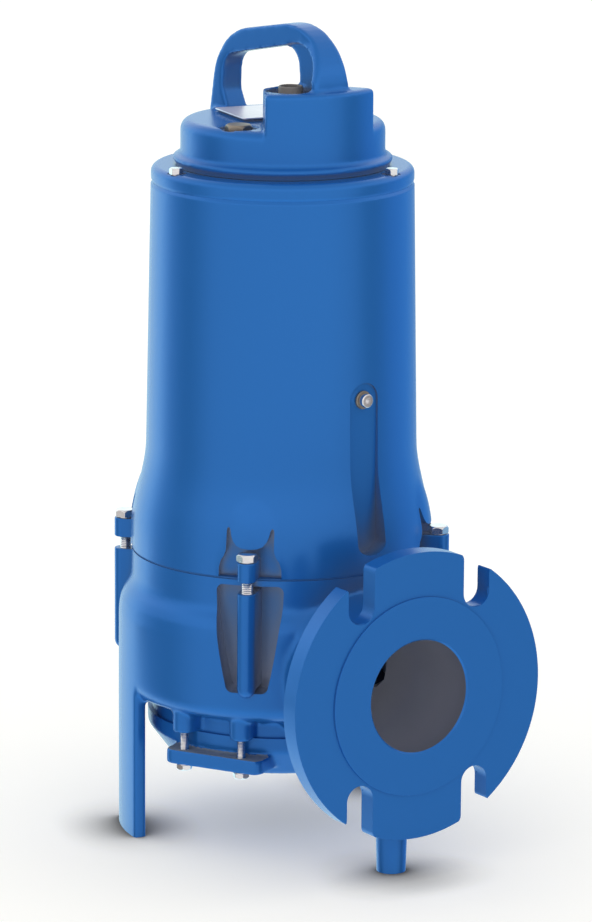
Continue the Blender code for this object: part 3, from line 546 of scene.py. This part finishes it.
well_edge = [(0.0222, JOINT - 0.01), (0.0218, 0.2065), (0.0205, 0.2115), (0.0182, 0.2150), (0.0168, 0.2190),
             (0.0166, 0.2260), (0.0166, 0.2320), (0.0161, 0.2342), (0.0150, 0.2348), (0.0140, 0.2332),
             (0.0132, 0.2295), (0.0118, 0.2258), (0.0092, 0.2228), (0.0055, 0.2212), (0.0, 0.2206)]
well_edge += [(-across, up) for across, up in reversed(well_edge[:-1])]
for lug_angle in LUG_ANGLES:
    well = slab("well", [(0.0972, across, up) for across, up in well_edge], (0.05, 0.0, 0.0))
    merged(barrel, turned_to(well, lug_angle), "DIFFERENCE")
    ear = tongue("ear", 0.0900, LUG_TIP, LUG_HALF_WIDTH, JOINT, EAR_TOP, lug_angle)
    applied(ear, "BEVEL", width=0.0008, segments=3, limit_method="ANGLE", angle_limit=math.radians(50.0))
    merged(barrel, ear, "UNION")
flat_edge = bend((0.0, PLUG_HEIGHT), 0.0120, 0.0, 180.0, 24)
flat_edge += bend((0.0, 0.2200), 0.0120, 180.0, 360.0, 16, 0.0080)
plug_flat = slab("plug_flat", [(FLAT_RADIUS, across, up) for across, up in flat_edge], (0.03, 0.0, 0.0))
merged(barrel, turned_to(plug_flat, PLUG_ANGLE), "DIFFERENCE")
holes = [rod("hole", PILLAR_BOLT_RADIUS + CLEARANCE, JOINT - 0.004, EAR_TOP + 0.004,
             around(LUG_CIRCLE, lug_angle)) for lug_angle in LUG_ANGLES]
plug_hole = rod("hole", 0.0043, 0.0820, 0.1200)
plug_hole.rotation_euler = (0.0, math.radians(90.0), PLUG_ANGLE)
plug_hole.location = (0.0, 0.0, PLUG_HEIGHT)
settled(plug_hole)
merged(barrel, joined(plug_hole, holes), "DIFFERENCE")
eased = turned("eased_edge", [(BARREL_TOP_RADIUS - 0.0012, BARREL_TOP + 0.001), (BARREL_TOP_RADIUS - 0.0012, BARREL_TOP),
                              (BARREL_TOP_RADIUS - 0.0006, BARREL_TOP - 0.0012),
                              (BARREL_TOP_RADIUS + 0.0006, BARREL_TOP - 0.0028), (0.0960, BARREL_TOP - 0.0028),
                              (0.0960, BARREL_TOP + 0.001), (BARREL_TOP_RADIUS - 0.0012, BARREL_TOP + 0.001)], steps=192)
merged(barrel, eased, "DIFFERENCE")
smoothed(barrel)
set_down(barrel, enamel, "blue_paint", "motor_housing")

# Upper bearing ring: a turned iron ring that centres the rotor's upper bearing on the housing. Its
# outer edge is rounded, and three screws with hexagon heads sit in spot-faced seats.
RING_TOP = 0.4700
RING_RADIUS = 0.0911
RING_SCREWS = [around(0.0850, math.radians(angle)) for angle in (-92.0, 28.0, 148.0)]

ring = turned("bearing_ring_turned", [(0.0, RING_TOP)] + bend((RING_RADIUS - 0.005, RING_TOP - 0.005), 0.005, 90.0, 0.0, 8)
              + [(RING_RADIUS, BARREL_TOP + 0.0026), (RING_RADIUS - 0.0004, BARREL_TOP + 0.0012),
                 (RING_RADIUS - 0.0010, BARREL_TOP), (0.0, BARREL_TOP)], steps=192)
seats = [rod("seat", 0.0070, RING_TOP - 0.0010, RING_TOP + 0.01, place) for place in RING_SCREWS]
seats += [rod("seat", 0.0033, BARREL_TOP - 0.01, RING_TOP + 0.02, place) for place in RING_SCREWS]
for seat in seats:
    merged(ring, seat, "DIFFERENCE")
smoothed(ring)
set_down(ring, enamel, "blue_paint", "upper_bearing_ring")

# Cable entry cap: a casting with a low round top, a raised block where the cable goes in, and the
# lifting hoop cast on. The foundry blends each foot of the hoop and of the block with a fillet.
CAP_RADIUS = 0.0708
CAP_TOP = 0.5020
ENTRY_TOP = 0.5280
HOOP_ANGLE = math.radians(4.0)
GLAND = (0.0400, -0.0200)
FILLER = (0.0205, -0.0495)
FILLER_SEAT = 0.4980
NAMEPLATE_CORNER = (0.0030, -0.0340)
NAMEPLATE_SIZE = (0.0530, 0.0440)
NAMEPLATE_ANGLE = math.radians(-10.0)


def rounded(corners):
    """Points of an outline from its corners (across, up, radius), a radius of 0 leaving one sharp."""
    points = []
    for index, (across, up, radius) in enumerate(corners):
        if not radius:
            points.append((across, up))
            continue
        before, after = corners[index - 1], corners[(index + 1) % len(corners)]
        back = math.atan2(before[1] - up, before[0] - across)
        on = math.atan2(after[1] - up, after[0] - across)
        half = 0.5 * ((on - back) % math.tau)
        middle = back + half
        if half > 0.5 * math.pi:
            half, middle = math.pi - half, middle + math.pi
        distance = radius / math.sin(half)
        centre = (across + distance * math.cos(middle), up + distance * math.sin(middle))
        spread = 0.5 * math.pi - half
        steps = max(3, round(spread / math.radians(4.0)))
        sign = 1.0 if (on - back) % math.tau > math.pi else -1.0
        for step in range(steps + 1):
            angle = middle + math.pi + sign * spread * (2.0 * step / steps - 1.0)
            points.append((centre[0] + radius * math.cos(angle), centre[1] + radius * math.sin(angle)))
    return points


cap = turned("cable_entry_cap_cast", [(0.0, CAP_TOP)] + bend((CAP_RADIUS - 0.007, CAP_TOP - 0.007), 0.007, 90.0, 0.0, 8)
             + [(CAP_RADIUS, 0.4790), (CAP_RADIUS + 0.0012, 0.4778), (0.0755, 0.4770), (0.0760, 0.4765), (0.0760, 0.4738),
                (0.0755, 0.4733), (0.0738, 0.4728), (0.0738, 0.4640), (0.0, 0.4640)], steps=192)
hoop_side = rounded([(-0.0760, 0.4900, 0.0), (-0.0640, 0.5560, 0.0450), (0.0580, 0.5775, 0.0480),
                     (0.0680, 0.4900, 0.0)])
eye_side = rounded([(-0.0500, 0.4990, 0.0), (-0.0590, 0.5160, 0.0120), (-0.0570, 0.5405, 0.0140),
                    (0.0240, 0.5565, 0.0140), (0.0270, 0.4990, 0.0)])
hoop = slab("hoop", [(across, 0.0089, up) for across, up in hoop_side], (0.0, -0.0178, 0.0))
eye = slab("eye", [(across, 0.0300, up) for across, up in eye_side], (0.0, -0.06, 0.0))
merged(hoop, eye, "DIFFERENCE")
flare_side = [point for point in hoop_side if point[0] > 0.0300]
flare_side = [(0.0300, 0.4900), (0.0300, flare_side[0][1] - 0.0020)] + flare_side
flare = slab("flare", [(across, 0.0, up) for across, up in flare_side], (0.0, -0.0205, 0.0))
slope = slab("slope", [(0.0, across, up) for across, up in ((-0.0300, 0.5135), (-0.0080, 0.5610), (-0.0080, 0.6000),
                                                            (-0.0300, 0.6000))], (0.1, 0.0, 0.0))
merged(flare, slope, "DIFFERENCE")
for part in (hoop, flare):
    turned_to(part, HOOP_ANGLE)

entry_edge = [(0.0518, -0.0483), (0.0220, -0.0310), (0.0160, -0.0090), (0.0300, 0.0120), (0.0520, 0.0280),
              (0.0620, 0.0342)]
entry_edge += [around(2.0 * CAP_RADIUS, math.radians(angle)) for angle in (28.9, -7.0, -43.0)]
entry = slab("entry", [(x, y, CAP_TOP - 0.02) for x, y in entry_edge], (0.0, 0.0, 0.08))
entry_top = turned("entry_top", [(0.0, ENTRY_TOP)] + bend((CAP_RADIUS - 0.003, ENTRY_TOP - 0.003), 0.003, 90.0, 0.0, 6)
                   + [(CAP_RADIUS, 0.4900), (0.0, 0.4900)], steps=192)
merged(entry, entry_top, "INTERSECT")
joined(cap, [hoop, flare, entry])
applied(cap, "REMESH", mode="VOXEL", voxel_size=0.0011)
applied(cap, "SMOOTH", factor=0.5, iterations=9)
recess = rod("recess", 0.0170, 0.5200, ENTRY_TOP + 0.004, GLAND, sides=64)
hollow_side = rounded([(0.0, ENTRY_TOP + 0.0003, 0.0), (0.0, 0.5510, 0.0), (0.0530, 0.5660, 0.0300),
                       (0.0580, ENTRY_TOP + 0.0003, 0.0)])
hollow = slab("hollow", [(across, -0.0055, up) for across, up in hollow_side], (0.0, -0.0345, 0.0))
turned_to(hollow, HOOP_ANGLE)


def nameplate_box(name, margin, bottom, top):
    """A rectangle at the nameplate's place, larger by a margin on each side."""
    width, depth = NAMEPLATE_SIZE
    outline = [(-width - margin, -margin), (margin, -margin), (margin, depth + margin), (-width - margin, depth + margin)]
    box = slab(name, [(x, y, bottom) for x, y in outline], (0.0, 0.0, top - bottom))
    box.location = (NAMEPLATE_CORNER[0], NAMEPLATE_CORNER[1], 0.0)
    box.rotation_euler.z = NAMEPLATE_ANGLE
    settled(box)
    return box


for tool, operation in ((recess, "DIFFERENCE"), (hollow, "DIFFERENCE"),
                        (nameplate_box("pad", -0.0020, CAP_TOP - 0.006, CAP_TOP + 0.0015), "UNION"),
                        (rod("seat", 0.0125, FILLER_SEAT, CAP_TOP + 0.018, FILLER, sides=48), "DIFFERENCE")):
    merged(cap, tool, operation)
cast(cap, 0.0011, 3)
faced(cap, RING_TOP + CLEARANCE, False)
for tool in (rod("bore", 0.0103, 0.5050, 0.5300, GLAND, sides=48), rod("hole", 0.0063, 0.4860, 0.5100, FILLER)):
    merged(cap, tool, "DIFFERENCE")
smoothed(cap)
set_down(cap, enamel, "blue_paint", "cable_entry_cap")

# Housing bolts: four stainless M8 hexagon screws that draw the motor housing down onto the volute
# with its gasket between. Each head is cold formed with a chamfered crown and a washer face.
def hexagon_screw(name, flats, height, radius, reach, pitch):
    """A screw standing on z = 0 with its head above and its thread below."""
    corner = flats / math.sqrt(3.0)
    head = rod(name, corner, 0.0003, height, sides=6)
    crown = turned("crown", [(0.0, height), (0.47 * flats, height), (corner + 0.0002, height - 0.14 * flats),
                             (corner + 0.0002, 0.0005), (0.0, 0.0005)], steps=72)
    merged(head, crown, "INTERSECT")
    applied(head, "BEVEL", width=0.00025, segments=2, limit_method="ANGLE", angle_limit=math.radians(25.0))
    outline = [(0.0, 0.0008), (0.46 * flats, 0.0008), (0.46 * flats, 0.0), (radius, 0.0), (radius, -0.0010)]
    crest = -0.0010
    while crest - pitch > -reach + 0.0008:
        outline += [(radius - 0.0004, crest - 0.5 * pitch), (radius, crest - pitch)]
        crest -= pitch
    outline += [(radius - 0.0008, -reach), (0.0, -reach)]
    return joined(head, [turned("thread", outline, steps=40)])


def copied(body, name, place, turn=0.0, upside_down=False):
    """A screw like the first one, with a mesh of its own, stood at its place."""
    other = body.copy()
    other.data = body.data.copy()
    other.name = name
    bpy.context.scene.collection.objects.link(other)
    other.rotation_euler = (math.pi if upside_down else 0.0, 0.0, turn)
    other.location = place
    settled(other)
    return other


# Stainless steel, cold formed and passivated: a bright grey metal with fine drawing marks.
stainless, shader = new_finish("stainless_steel_cold_formed")
place = add_node(stainless, "ShaderNodeTexCoord").outputs["Object"]
stretch = add_node(stainless, "ShaderNodeMapping", inputs={"Vector": place, "Scale": (1.0, 1.0, 12.0)})
marks = add_node(stainless, "ShaderNodeTexNoise", inputs={"Vector": stretch.outputs["Vector"], "Scale": 260.0,
                                                         "Detail": 3.0})
tone = add_node(stainless, "ShaderNodeValToRGB", inputs={"Fac": marks.outputs["Fac"]})
tone.color_ramp.elements[0].color = from_hex("#C9C7C8")
tone.color_ramp.elements[1].color = from_hex("#F3F1F3")
bump = add_node(stainless, "ShaderNodeBump", inputs={"Strength": 0.12, "Distance": 0.0003, "Height": marks.outputs["Fac"]})
stainless.node_tree.links.new(tone.outputs["Color"], shader.inputs["Base Color"])
stainless.node_tree.links.new(bump.outputs["Normal"], shader.inputs["Normal"])
shader.inputs["Metallic"].default_value = 1.0
shader.inputs["Roughness"].default_value = 0.24

first = hexagon_screw("housing_screw", 0.0130, 0.0056, 0.0040, 0.0415, 0.00125)
for number, lug_angle in enumerate(LUG_ANGLES, 1):
    screw = copied(first, f"housing_screw_{number}", (*around(LUG_CIRCLE, lug_angle), EAR_TOP + CLEARANCE),
                   lug_angle + 0.3 * number)
    smoothed(screw, 30.0)
    set_down(screw, stainless, "stainless_steel", f"housing_bolt_{number}")
bpy.data.objects.remove(first, do_unlink=True)

# Bottom plate screws: six stainless M6 hexagon screws, driven in from below through the lobes, their
# bright shanks bare between the lobes and the bosses of the casing.
first = hexagon_screw("plate_screw", 0.0100, 0.0042, 0.0030, 0.0322, 0.0010)
for number, (screw_angle, screw_place) in enumerate(plate_screw_places(), 1):
    screw = copied(first, f"plate_screw_{number}", (*screw_place, LOBE_BOTTOM - CLEARANCE), screw_angle, True)
    smoothed(screw, 30.0)
    set_down(screw, stainless, "stainless_steel", f"bottom_plate_screw_{number}")
bpy.data.objects.remove(first, do_unlink=True)

# Ring screws: three small stainless hexagon screws in the spot-faced seats of the bearing ring.
first = hexagon_screw("ring_screw", 0.0085, 0.0047, 0.0030, 0.0098, 0.0010)
for number, ring_place in enumerate(RING_SCREWS, 1):
    screw = copied(first, f"bearing_ring_screw_{number}", (*ring_place, RING_TOP - 0.0010 + CLEARANCE), 0.4 * number)
    smoothed(screw, 30.0)
    set_down(screw, stainless, "stainless_steel", f"ring_screw_{number}")
bpy.data.objects.remove(first, do_unlink=True)

# Side plug: a stainless hexagon socket screw over a brass washer, in the flat milled on the barrel.
face = FLAT_RADIUS + CLEARANCE
plug = turned("side_plug_turned", [(0.0, face + 0.0060)] + bend((0.0040, face + 0.0052), 0.0008, 90.0, 0.0, 4)
              + [(0.0048, face + 0.0018), (0.0040, face + 0.0018), (0.0040, 0.0830), (0.0, 0.0830)], steps=48)
merged(plug, rod("socket", 0.0024, face + 0.0030, face + 0.01, sides=6), "DIFFERENCE")
washer = turned("side_plug_washer_turned", [(0.0043, face + 0.0015), (0.0059, face + 0.0015), (0.0063, face + 0.0011),
                                            (0.0063, face), (0.0043, face), (0.0043, face + 0.0015)], steps=48)
brass, shader = new_finish("brass_dulled")
place = add_node(brass, "ShaderNodeTexCoord").outputs["Object"]
stains = add_node(brass, "ShaderNodeTexNoise", inputs={"Vector": place, "Scale": 120.0, "Detail": 4.0})
tone = add_node(brass, "ShaderNodeValToRGB", inputs={"Fac": stains.outputs["Fac"]})
tone.color_ramp.elements[0].color = from_hex("#7E7468")
tone.color_ramp.elements[1].color = from_hex("#A3988C")
brass.node_tree.links.new(tone.outputs["Color"], shader.inputs["Base Color"])
shader.inputs["Metallic"].default_value = 0.8
shader.inputs["Roughness"].default_value = 0.42
for part, finish, slot, node in ((plug, stainless, "stainless_steel", "side_plug"),
                                 (washer, brass, "dull_brass", "side_plug_washer")):
    part.rotation_euler = (0.0, math.radians(90.0), PLUG_ANGLE)
    part.location = (0.0, 0.0, PLUG_HEIGHT)
    settled(part)
    smoothed(part, 35.0)
    set_down(part, finish, slot, node)

# Filler plug: a brass hexagon plug through which the motor is topped up, low and well rounded.
filler = hexagon_screw("filler_plug_turned", 0.0170, 0.0060, 0.0060, 0.0112, 0.0015)
filler = copied(filler, "filler_plug_brass", (*FILLER, FILLER_SEAT + CLEARANCE), 0.25)
bpy.data.objects.remove(bpy.data.objects["filler_plug_turned"], do_unlink=True)
smoothed(filler, 35.0)
set_down(filler, brass, "dull_brass", "filler_plug")

# Nameplate: a bare stamped plate of bright stainless sheet with round corners, glued on its pad.
PLATE_TOP = CAP_TOP + 0.0027
nameplate = nameplate_box("nameplate_sheet", 0.0, CAP_TOP + 0.0015 + CLEARANCE, PLATE_TOP)
bpy.context.view_layer.objects.active = nameplate
bpy.ops.object.mode_set(mode="EDIT")
bpy.ops.mesh.select_mode(type="EDGE")
bpy.ops.mesh.select_all(action="DESELECT")
bpy.ops.object.mode_set(mode="OBJECT")
for mesh_edge in nameplate.data.edges:
    start, end = (nameplate.data.vertices[index].co for index in mesh_edge.vertices)
    mesh_edge.select = abs(end.z - start.z) > 0.0005
bpy.ops.object.mode_set(mode="EDIT")
bpy.ops.mesh.bevel(offset=0.0025, segments=6)
bpy.ops.object.mode_set(mode="OBJECT")
applied(nameplate, "BEVEL", width=0.0002, segments=2, limit_method="ANGLE", angle_limit=math.radians(50.0))
smoothed(nameplate, 35.0)
sheet_steel, shader = new_finish("stainless_sheet_satin")
place = add_node(sheet_steel, "ShaderNodeTexCoord").outputs["Object"]
stretch = add_node(sheet_steel, "ShaderNodeMapping", inputs={"Vector": place, "Rotation": (0.0, 0.0, 0.17),
                                                           "Scale": (1.0, 30.0, 1.0)})
grind = add_node(sheet_steel, "ShaderNodeTexNoise", inputs={"Vector": stretch.outputs["Vector"], "Scale": 90.0})
tone = add_node(sheet_steel, "ShaderNodeValToRGB", inputs={"Fac": grind.outputs["Fac"]})
tone.color_ramp.elements[0].color = from_hex("#DAD5DE")
tone.color_ramp.elements[1].color = from_hex("#F6F2F8")
sheet_steel.node_tree.links.new(tone.outputs["Color"], shader.inputs["Base Color"])
shader.inputs["Metallic"].default_value = 0.55
shader.inputs["Roughness"].default_value = 0.35
set_down(nameplate, sheet_steel, "stainless_steel", "nameplate")

# Cable gland: a steel nut that squeezes a grey rubber seal round the cable in the entry's recess.
RECESS_FLOOR = 0.5200
nut = rod("gland_nut_steel", 0.0140, RECESS_FLOOR + CLEARANCE, RECESS_FLOOR + 0.0050, sides=6)
crown = turned("crown", [(0.0, RECESS_FLOOR + 0.0050), (0.0118, RECESS_FLOOR + 0.0050), (0.0141, RECESS_FLOOR + 0.0037),
                         (0.0141, RECESS_FLOOR), (0.0, RECESS_FLOOR)], steps=72)
merged(nut, crown, "INTERSECT")
merged(nut, rod("nut_bore", 0.0089, 0.5000, 0.5400, sides=48), "DIFFERENCE")
seal = turned("gland_seal_rubber", [(0.0, 0.5120), (0.0069, 0.5120), (0.0069, 0.5304), (0.0074, 0.5310), (0.0080, 0.5309),
                                    (0.0085, 0.5300), (0.0086, 0.5200), (0.0100, 0.5195), (0.0100, 0.5053), (0.0, 0.5053)],
              steps=64)
rubber, shader = new_finish("moulded_nitrile_rubber")
place = add_node(rubber, "ShaderNodeTexCoord").outputs["Object"]
skin = add_node(rubber, "ShaderNodeTexNoise", inputs={"Vector": place, "Scale": 900.0})
bump = add_node(rubber, "ShaderNodeBump", inputs={"Strength": 0.2, "Distance": 0.0002, "Height": skin.outputs["Fac"]})
rubber.node_tree.links.new(bump.outputs["Normal"], shader.inputs["Normal"])
shader.inputs["Base Color"].default_value = from_hex("#74706E")
shader.inputs["Roughness"].default_value = 0.55
for part, finish, slot, node in ((nut, stainless, "stainless_steel", "gland_nut"),
                                 (seal, rubber, "grey_rubber", "gland_seal")):
    part.location = (*GLAND, 0.0)
    settled(part)
    smoothed(part, 35.0)
    set_down(part, finish, slot, node)

# Joint gasket: a ring punched from pressed fibre sheet and squeezed between housing and casing, flush
# with both, so the blue spray has coloured its edge.
GASKET_RADIUS = 0.1040
gasket = turned("joint_gasket_fibre", [
    (0.0870, CASING_TOP), (GASKET_RADIUS - 0.0003, CASING_TOP), (GASKET_RADIUS, CASING_TOP + 0.0004),
    (GASKET_RADIUS, JOINT - 0.0004), (GASKET_RADIUS - 0.0003, JOINT), (0.0870, JOINT), (0.0870, CASING_TOP)],
    steps=192)
fibre, shader = new_finish("pressed_gasket_fibre")
place = add_node(fibre, "ShaderNodeTexCoord").outputs["Object"]
felt = add_node(fibre, "ShaderNodeTexNoise", inputs={"Vector": place, "Scale": 1500.0, "Detail": 3.0})
tone = add_node(fibre, "ShaderNodeValToRGB", inputs={"Fac": felt.outputs["Fac"]})
tone.color_ramp.elements[0].color = from_hex("#1C4F8A")
tone.color_ramp.elements[1].color = from_hex("#2460A4")
fibre.node_tree.links.new(tone.outputs["Color"], shader.inputs["Base Color"])
shader.inputs["Roughness"].default_value = 0.85
smoothed(gasket)
set_down(gasket, fibre, "gasket_paper", "casing_gasket")

# Impeller, its screw and the oil chamber keep their solids. The iron ones are bare grey castings with
# the skin that sand leaves, and the screw is stainless.
iron, shader = new_finish("grey_cast_iron_bare")
place = add_node(iron, "ShaderNodeTexCoord").outputs["Object"]
sand = add_node(iron, "ShaderNodeTexNoise", inputs={"Vector": place, "Scale": 700.0, "Detail": 5.0})
tone = add_node(iron, "ShaderNodeValToRGB", inputs={"Fac": sand.outputs["Fac"]})
tone.color_ramp.elements[0].color = from_hex("#77757C")
tone.color_ramp.elements[1].color = from_hex("#94929A")
bump = add_node(iron, "ShaderNodeBump", inputs={"Strength": 0.5, "Distance": 0.0003, "Height": sand.outputs["Fac"]})
iron.node_tree.links.new(tone.outputs["Color"], shader.inputs["Base Color"])
iron.node_tree.links.new(bump.outputs["Normal"], shader.inputs["Normal"])
shader.inputs["Metallic"].default_value = 0.3
shader.inputs["Roughness"].default_value = 0.6
for node, finish in (("impeller", iron), ("oil_chamber", iron), ("impeller_screw", stainless)):
    for material_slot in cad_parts[node].material_slots:
        material_slot.material = finish

# Studio: a white floor, lit faintly from beneath as a light table is, under a bright dome. Round the
# pump stand a lit backdrop and dark flags to both sides, which the enamel mirrors as soft bands.
BRIGHTEST = 2.0
SEEN_FROM = -0.5860

bpy.context.scene.view_settings.view_transform = "Standard"
bpy.ops.object.select_all(action="DESELECT")
bpy.ops.mesh.primitive_plane_add(size=30.0, location=(0.0, 0.0, 0.0))
floor = bpy.context.object
floor.name = "studio_floor"
floor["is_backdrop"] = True
white, shader = new_finish("white_light_table")
shader.inputs["Base Color"].default_value = (0.9, 0.9, 0.9, 1.0)
shader.inputs["Roughness"].default_value = 1.0
shader.inputs["Specular IOR Level"].default_value = 0.0
shader.inputs["Emission Color"].default_value = (1.0, 0.90, 0.66, 1.0)
# Painted contact shadow: ambient occlusion darkens the floor's colour and its glow near the pump's feet.
painted_shadow_occlusion = add_node(white, "ShaderNodeAmbientOcclusion", {"samples": 16}, {"Distance": 0.050})
painted_contact_shadow = add_ramp(white, painted_shadow_occlusion.outputs["AO"], [(0.50, (0.11, 0.11, 0.11, 1.0)), (1.0, (0.9, 0.9, 0.9, 1.0))])
white.node_tree.links.new(painted_contact_shadow.outputs["Color"], shader.inputs["Base Color"])
glow_with_painted_shadow = add_node(white, "ShaderNodeMath", {"operation": "MULTIPLY"}, {0: painted_contact_shadow.outputs["Color"], 1: 0.222})
white.node_tree.links.new(glow_with_painted_shadow.outputs["Value"], shader.inputs["Emission Strength"])
floor.data.materials.append(white)
floor.visible_glossy = False

# A dark flag lies on the floor to the left, where only the belly of the casing mirrors it.
bpy.ops.object.select_all(action="DESELECT")
bpy.ops.mesh.primitive_circle_add(vertices=48, radius=1.0, fill_type="NGON", location=(0.0, 0.0, 0.0))
flag = bpy.context.object
flag.name = "studio_flag"
flag.scale = (0.11, 0.19, 1.0)
flag.rotation_euler.z = SEEN_FROM - math.radians(101.0)
flag.location = (AXIS[0] + 0.70 * math.cos(flag.rotation_euler.z),
                 AXIS[1] + 0.70 * math.sin(flag.rotation_euler.z), 0.002)
settled(flag)
flag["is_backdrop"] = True
felt_cloth, shader = new_finish("brown_felt")
shader.inputs["Base Color"].default_value = from_hex("#3A2E28")
shader.inputs["Roughness"].default_value = 1.0
flag.data.materials.append(felt_cloth)
flag.visible_camera = flag.visible_diffuse = flag.visible_shadow = False


def shaded(red, green, blue):
    return (red / BRIGHTEST, green / BRIGHTEST, blue / BRIGHTEST, 1.0)


air = bpy.data.worlds.new("studio_air")
bpy.context.scene.world = air
air.use_nodes = True
backdrop = air.node_tree.nodes["Background"]
direction = add_node(air, "ShaderNodeTexCoord").outputs["Generated"]
squared = add_node(air, "ShaderNodeMapping", inputs={"Vector": direction, "Rotation": (0.0, 0.0, -SEEN_FROM)})
split = add_node(air, "ShaderNodeSeparateXYZ", inputs={"Vector": squared.outputs["Vector"]})
bearing = add_node(air, "ShaderNodeMath", {"operation": "ARCTAN2"}, {0: split.outputs["Y"], 1: split.outputs["X"]})
turn = add_node(air, "ShaderNodeMapRange", inputs={"Value": bearing.outputs["Value"], "From Min": -math.pi,
                                                  "From Max": math.pi})
# Each band is placed by its bearing in degrees from the camera's side, turning to the right.
bands = add_ramp(air, turn.outputs["Result"], [(0.5 + bearing_angle / 360.0, shaded(*light)) for bearing_angle, light in (
    (-180, (0.95, 1.30, 1.30)), (-155, (1.00, 1.35, 1.35)), (-126, (1.35, 2.00, 2.00)), (-110, (0.55, 0.72, 0.80)),
    (-92, (0.20, 0.17, 0.16)), (-82, (0.24, 0.21, 0.19)), (-60, (0.95, 0.92, 0.90)), (0, (1.00, 0.98, 0.97)),
    (44, (1.02, 1.04, 1.02)), (65, (0.84, 0.80, 0.78)), (79, (0.18, 0.15, 0.14)), (90, (0.22, 0.19, 0.18)),
    (108, (0.28, 0.55, 0.86)), (135, (0.18, 0.60, 1.10)), (163, (0.36, 0.60, 0.84)), (180, (0.95, 1.30, 1.30)))])
dome = add_ramp(air, split.outputs["Z"], [(up, shaded(light, light, light)) for up, light in (
    (0.0, 1.6), (0.40, 1.5), (0.65, 1.0), (1.0, 0.75))])
rise = add_node(air, "ShaderNodeMapRange", inputs={"Value": split.outputs["Z"], "From Min": 0.10, "From Max": 0.50})
lit = add_node(air, "ShaderNodeMix", {"data_type": "RGBA"},
               {"Factor": rise.outputs["Result"], 6: bands.outputs["Color"], 7: dome.outputs["Color"]})
fall = add_node(air, "ShaderNodeMapRange", inputs={"Value": split.outputs["Z"], "From Min": -0.45, "From Max": -0.85})
mirrored = add_node(air, "ShaderNodeMix", {"data_type": "RGBA"},
                    {"Factor": fall.outputs["Result"], 6: lit.outputs[2], 7: shaded(1.05, 1.45, 1.55)})
seen = add_node(air, "ShaderNodeLightPath")
final = add_node(air, "ShaderNodeMix", {"data_type": "RGBA"},
                 {"Factor": seen.outputs["Is Camera Ray"], 6: mirrored.outputs[2], 7: shaded(0.98, 0.98, 0.98)})
air.node_tree.links.new(final.outputs[2], backdrop.inputs["Color"])
backdrop.inputs["Strength"].default_value = BRIGHTEST

camera = bpy.data.cameras.new("photograph_camera")
camera.lens = 196.05
camera.sensor_width = 36.0
camera_stand = bpy.data.objects.new("photograph_camera", camera)
bpy.context.scene.collection.objects.link(camera_stand)
heading, downward, lean = 2.5579, 0.2208, 0.0059
camera_stand.matrix_world = (Matrix.Translation((2.83505, -1.8813, 1.0293))
                             @ Matrix.Rotation(heading - 0.5 * math.pi, 4, "Z")
                             @ Matrix.Rotation(0.5 * math.pi - downward, 4, "X")
                             @ Matrix.Rotation(lean, 4, "Z"))
bpy.context.scene.camera = camera_stand

low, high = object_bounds()
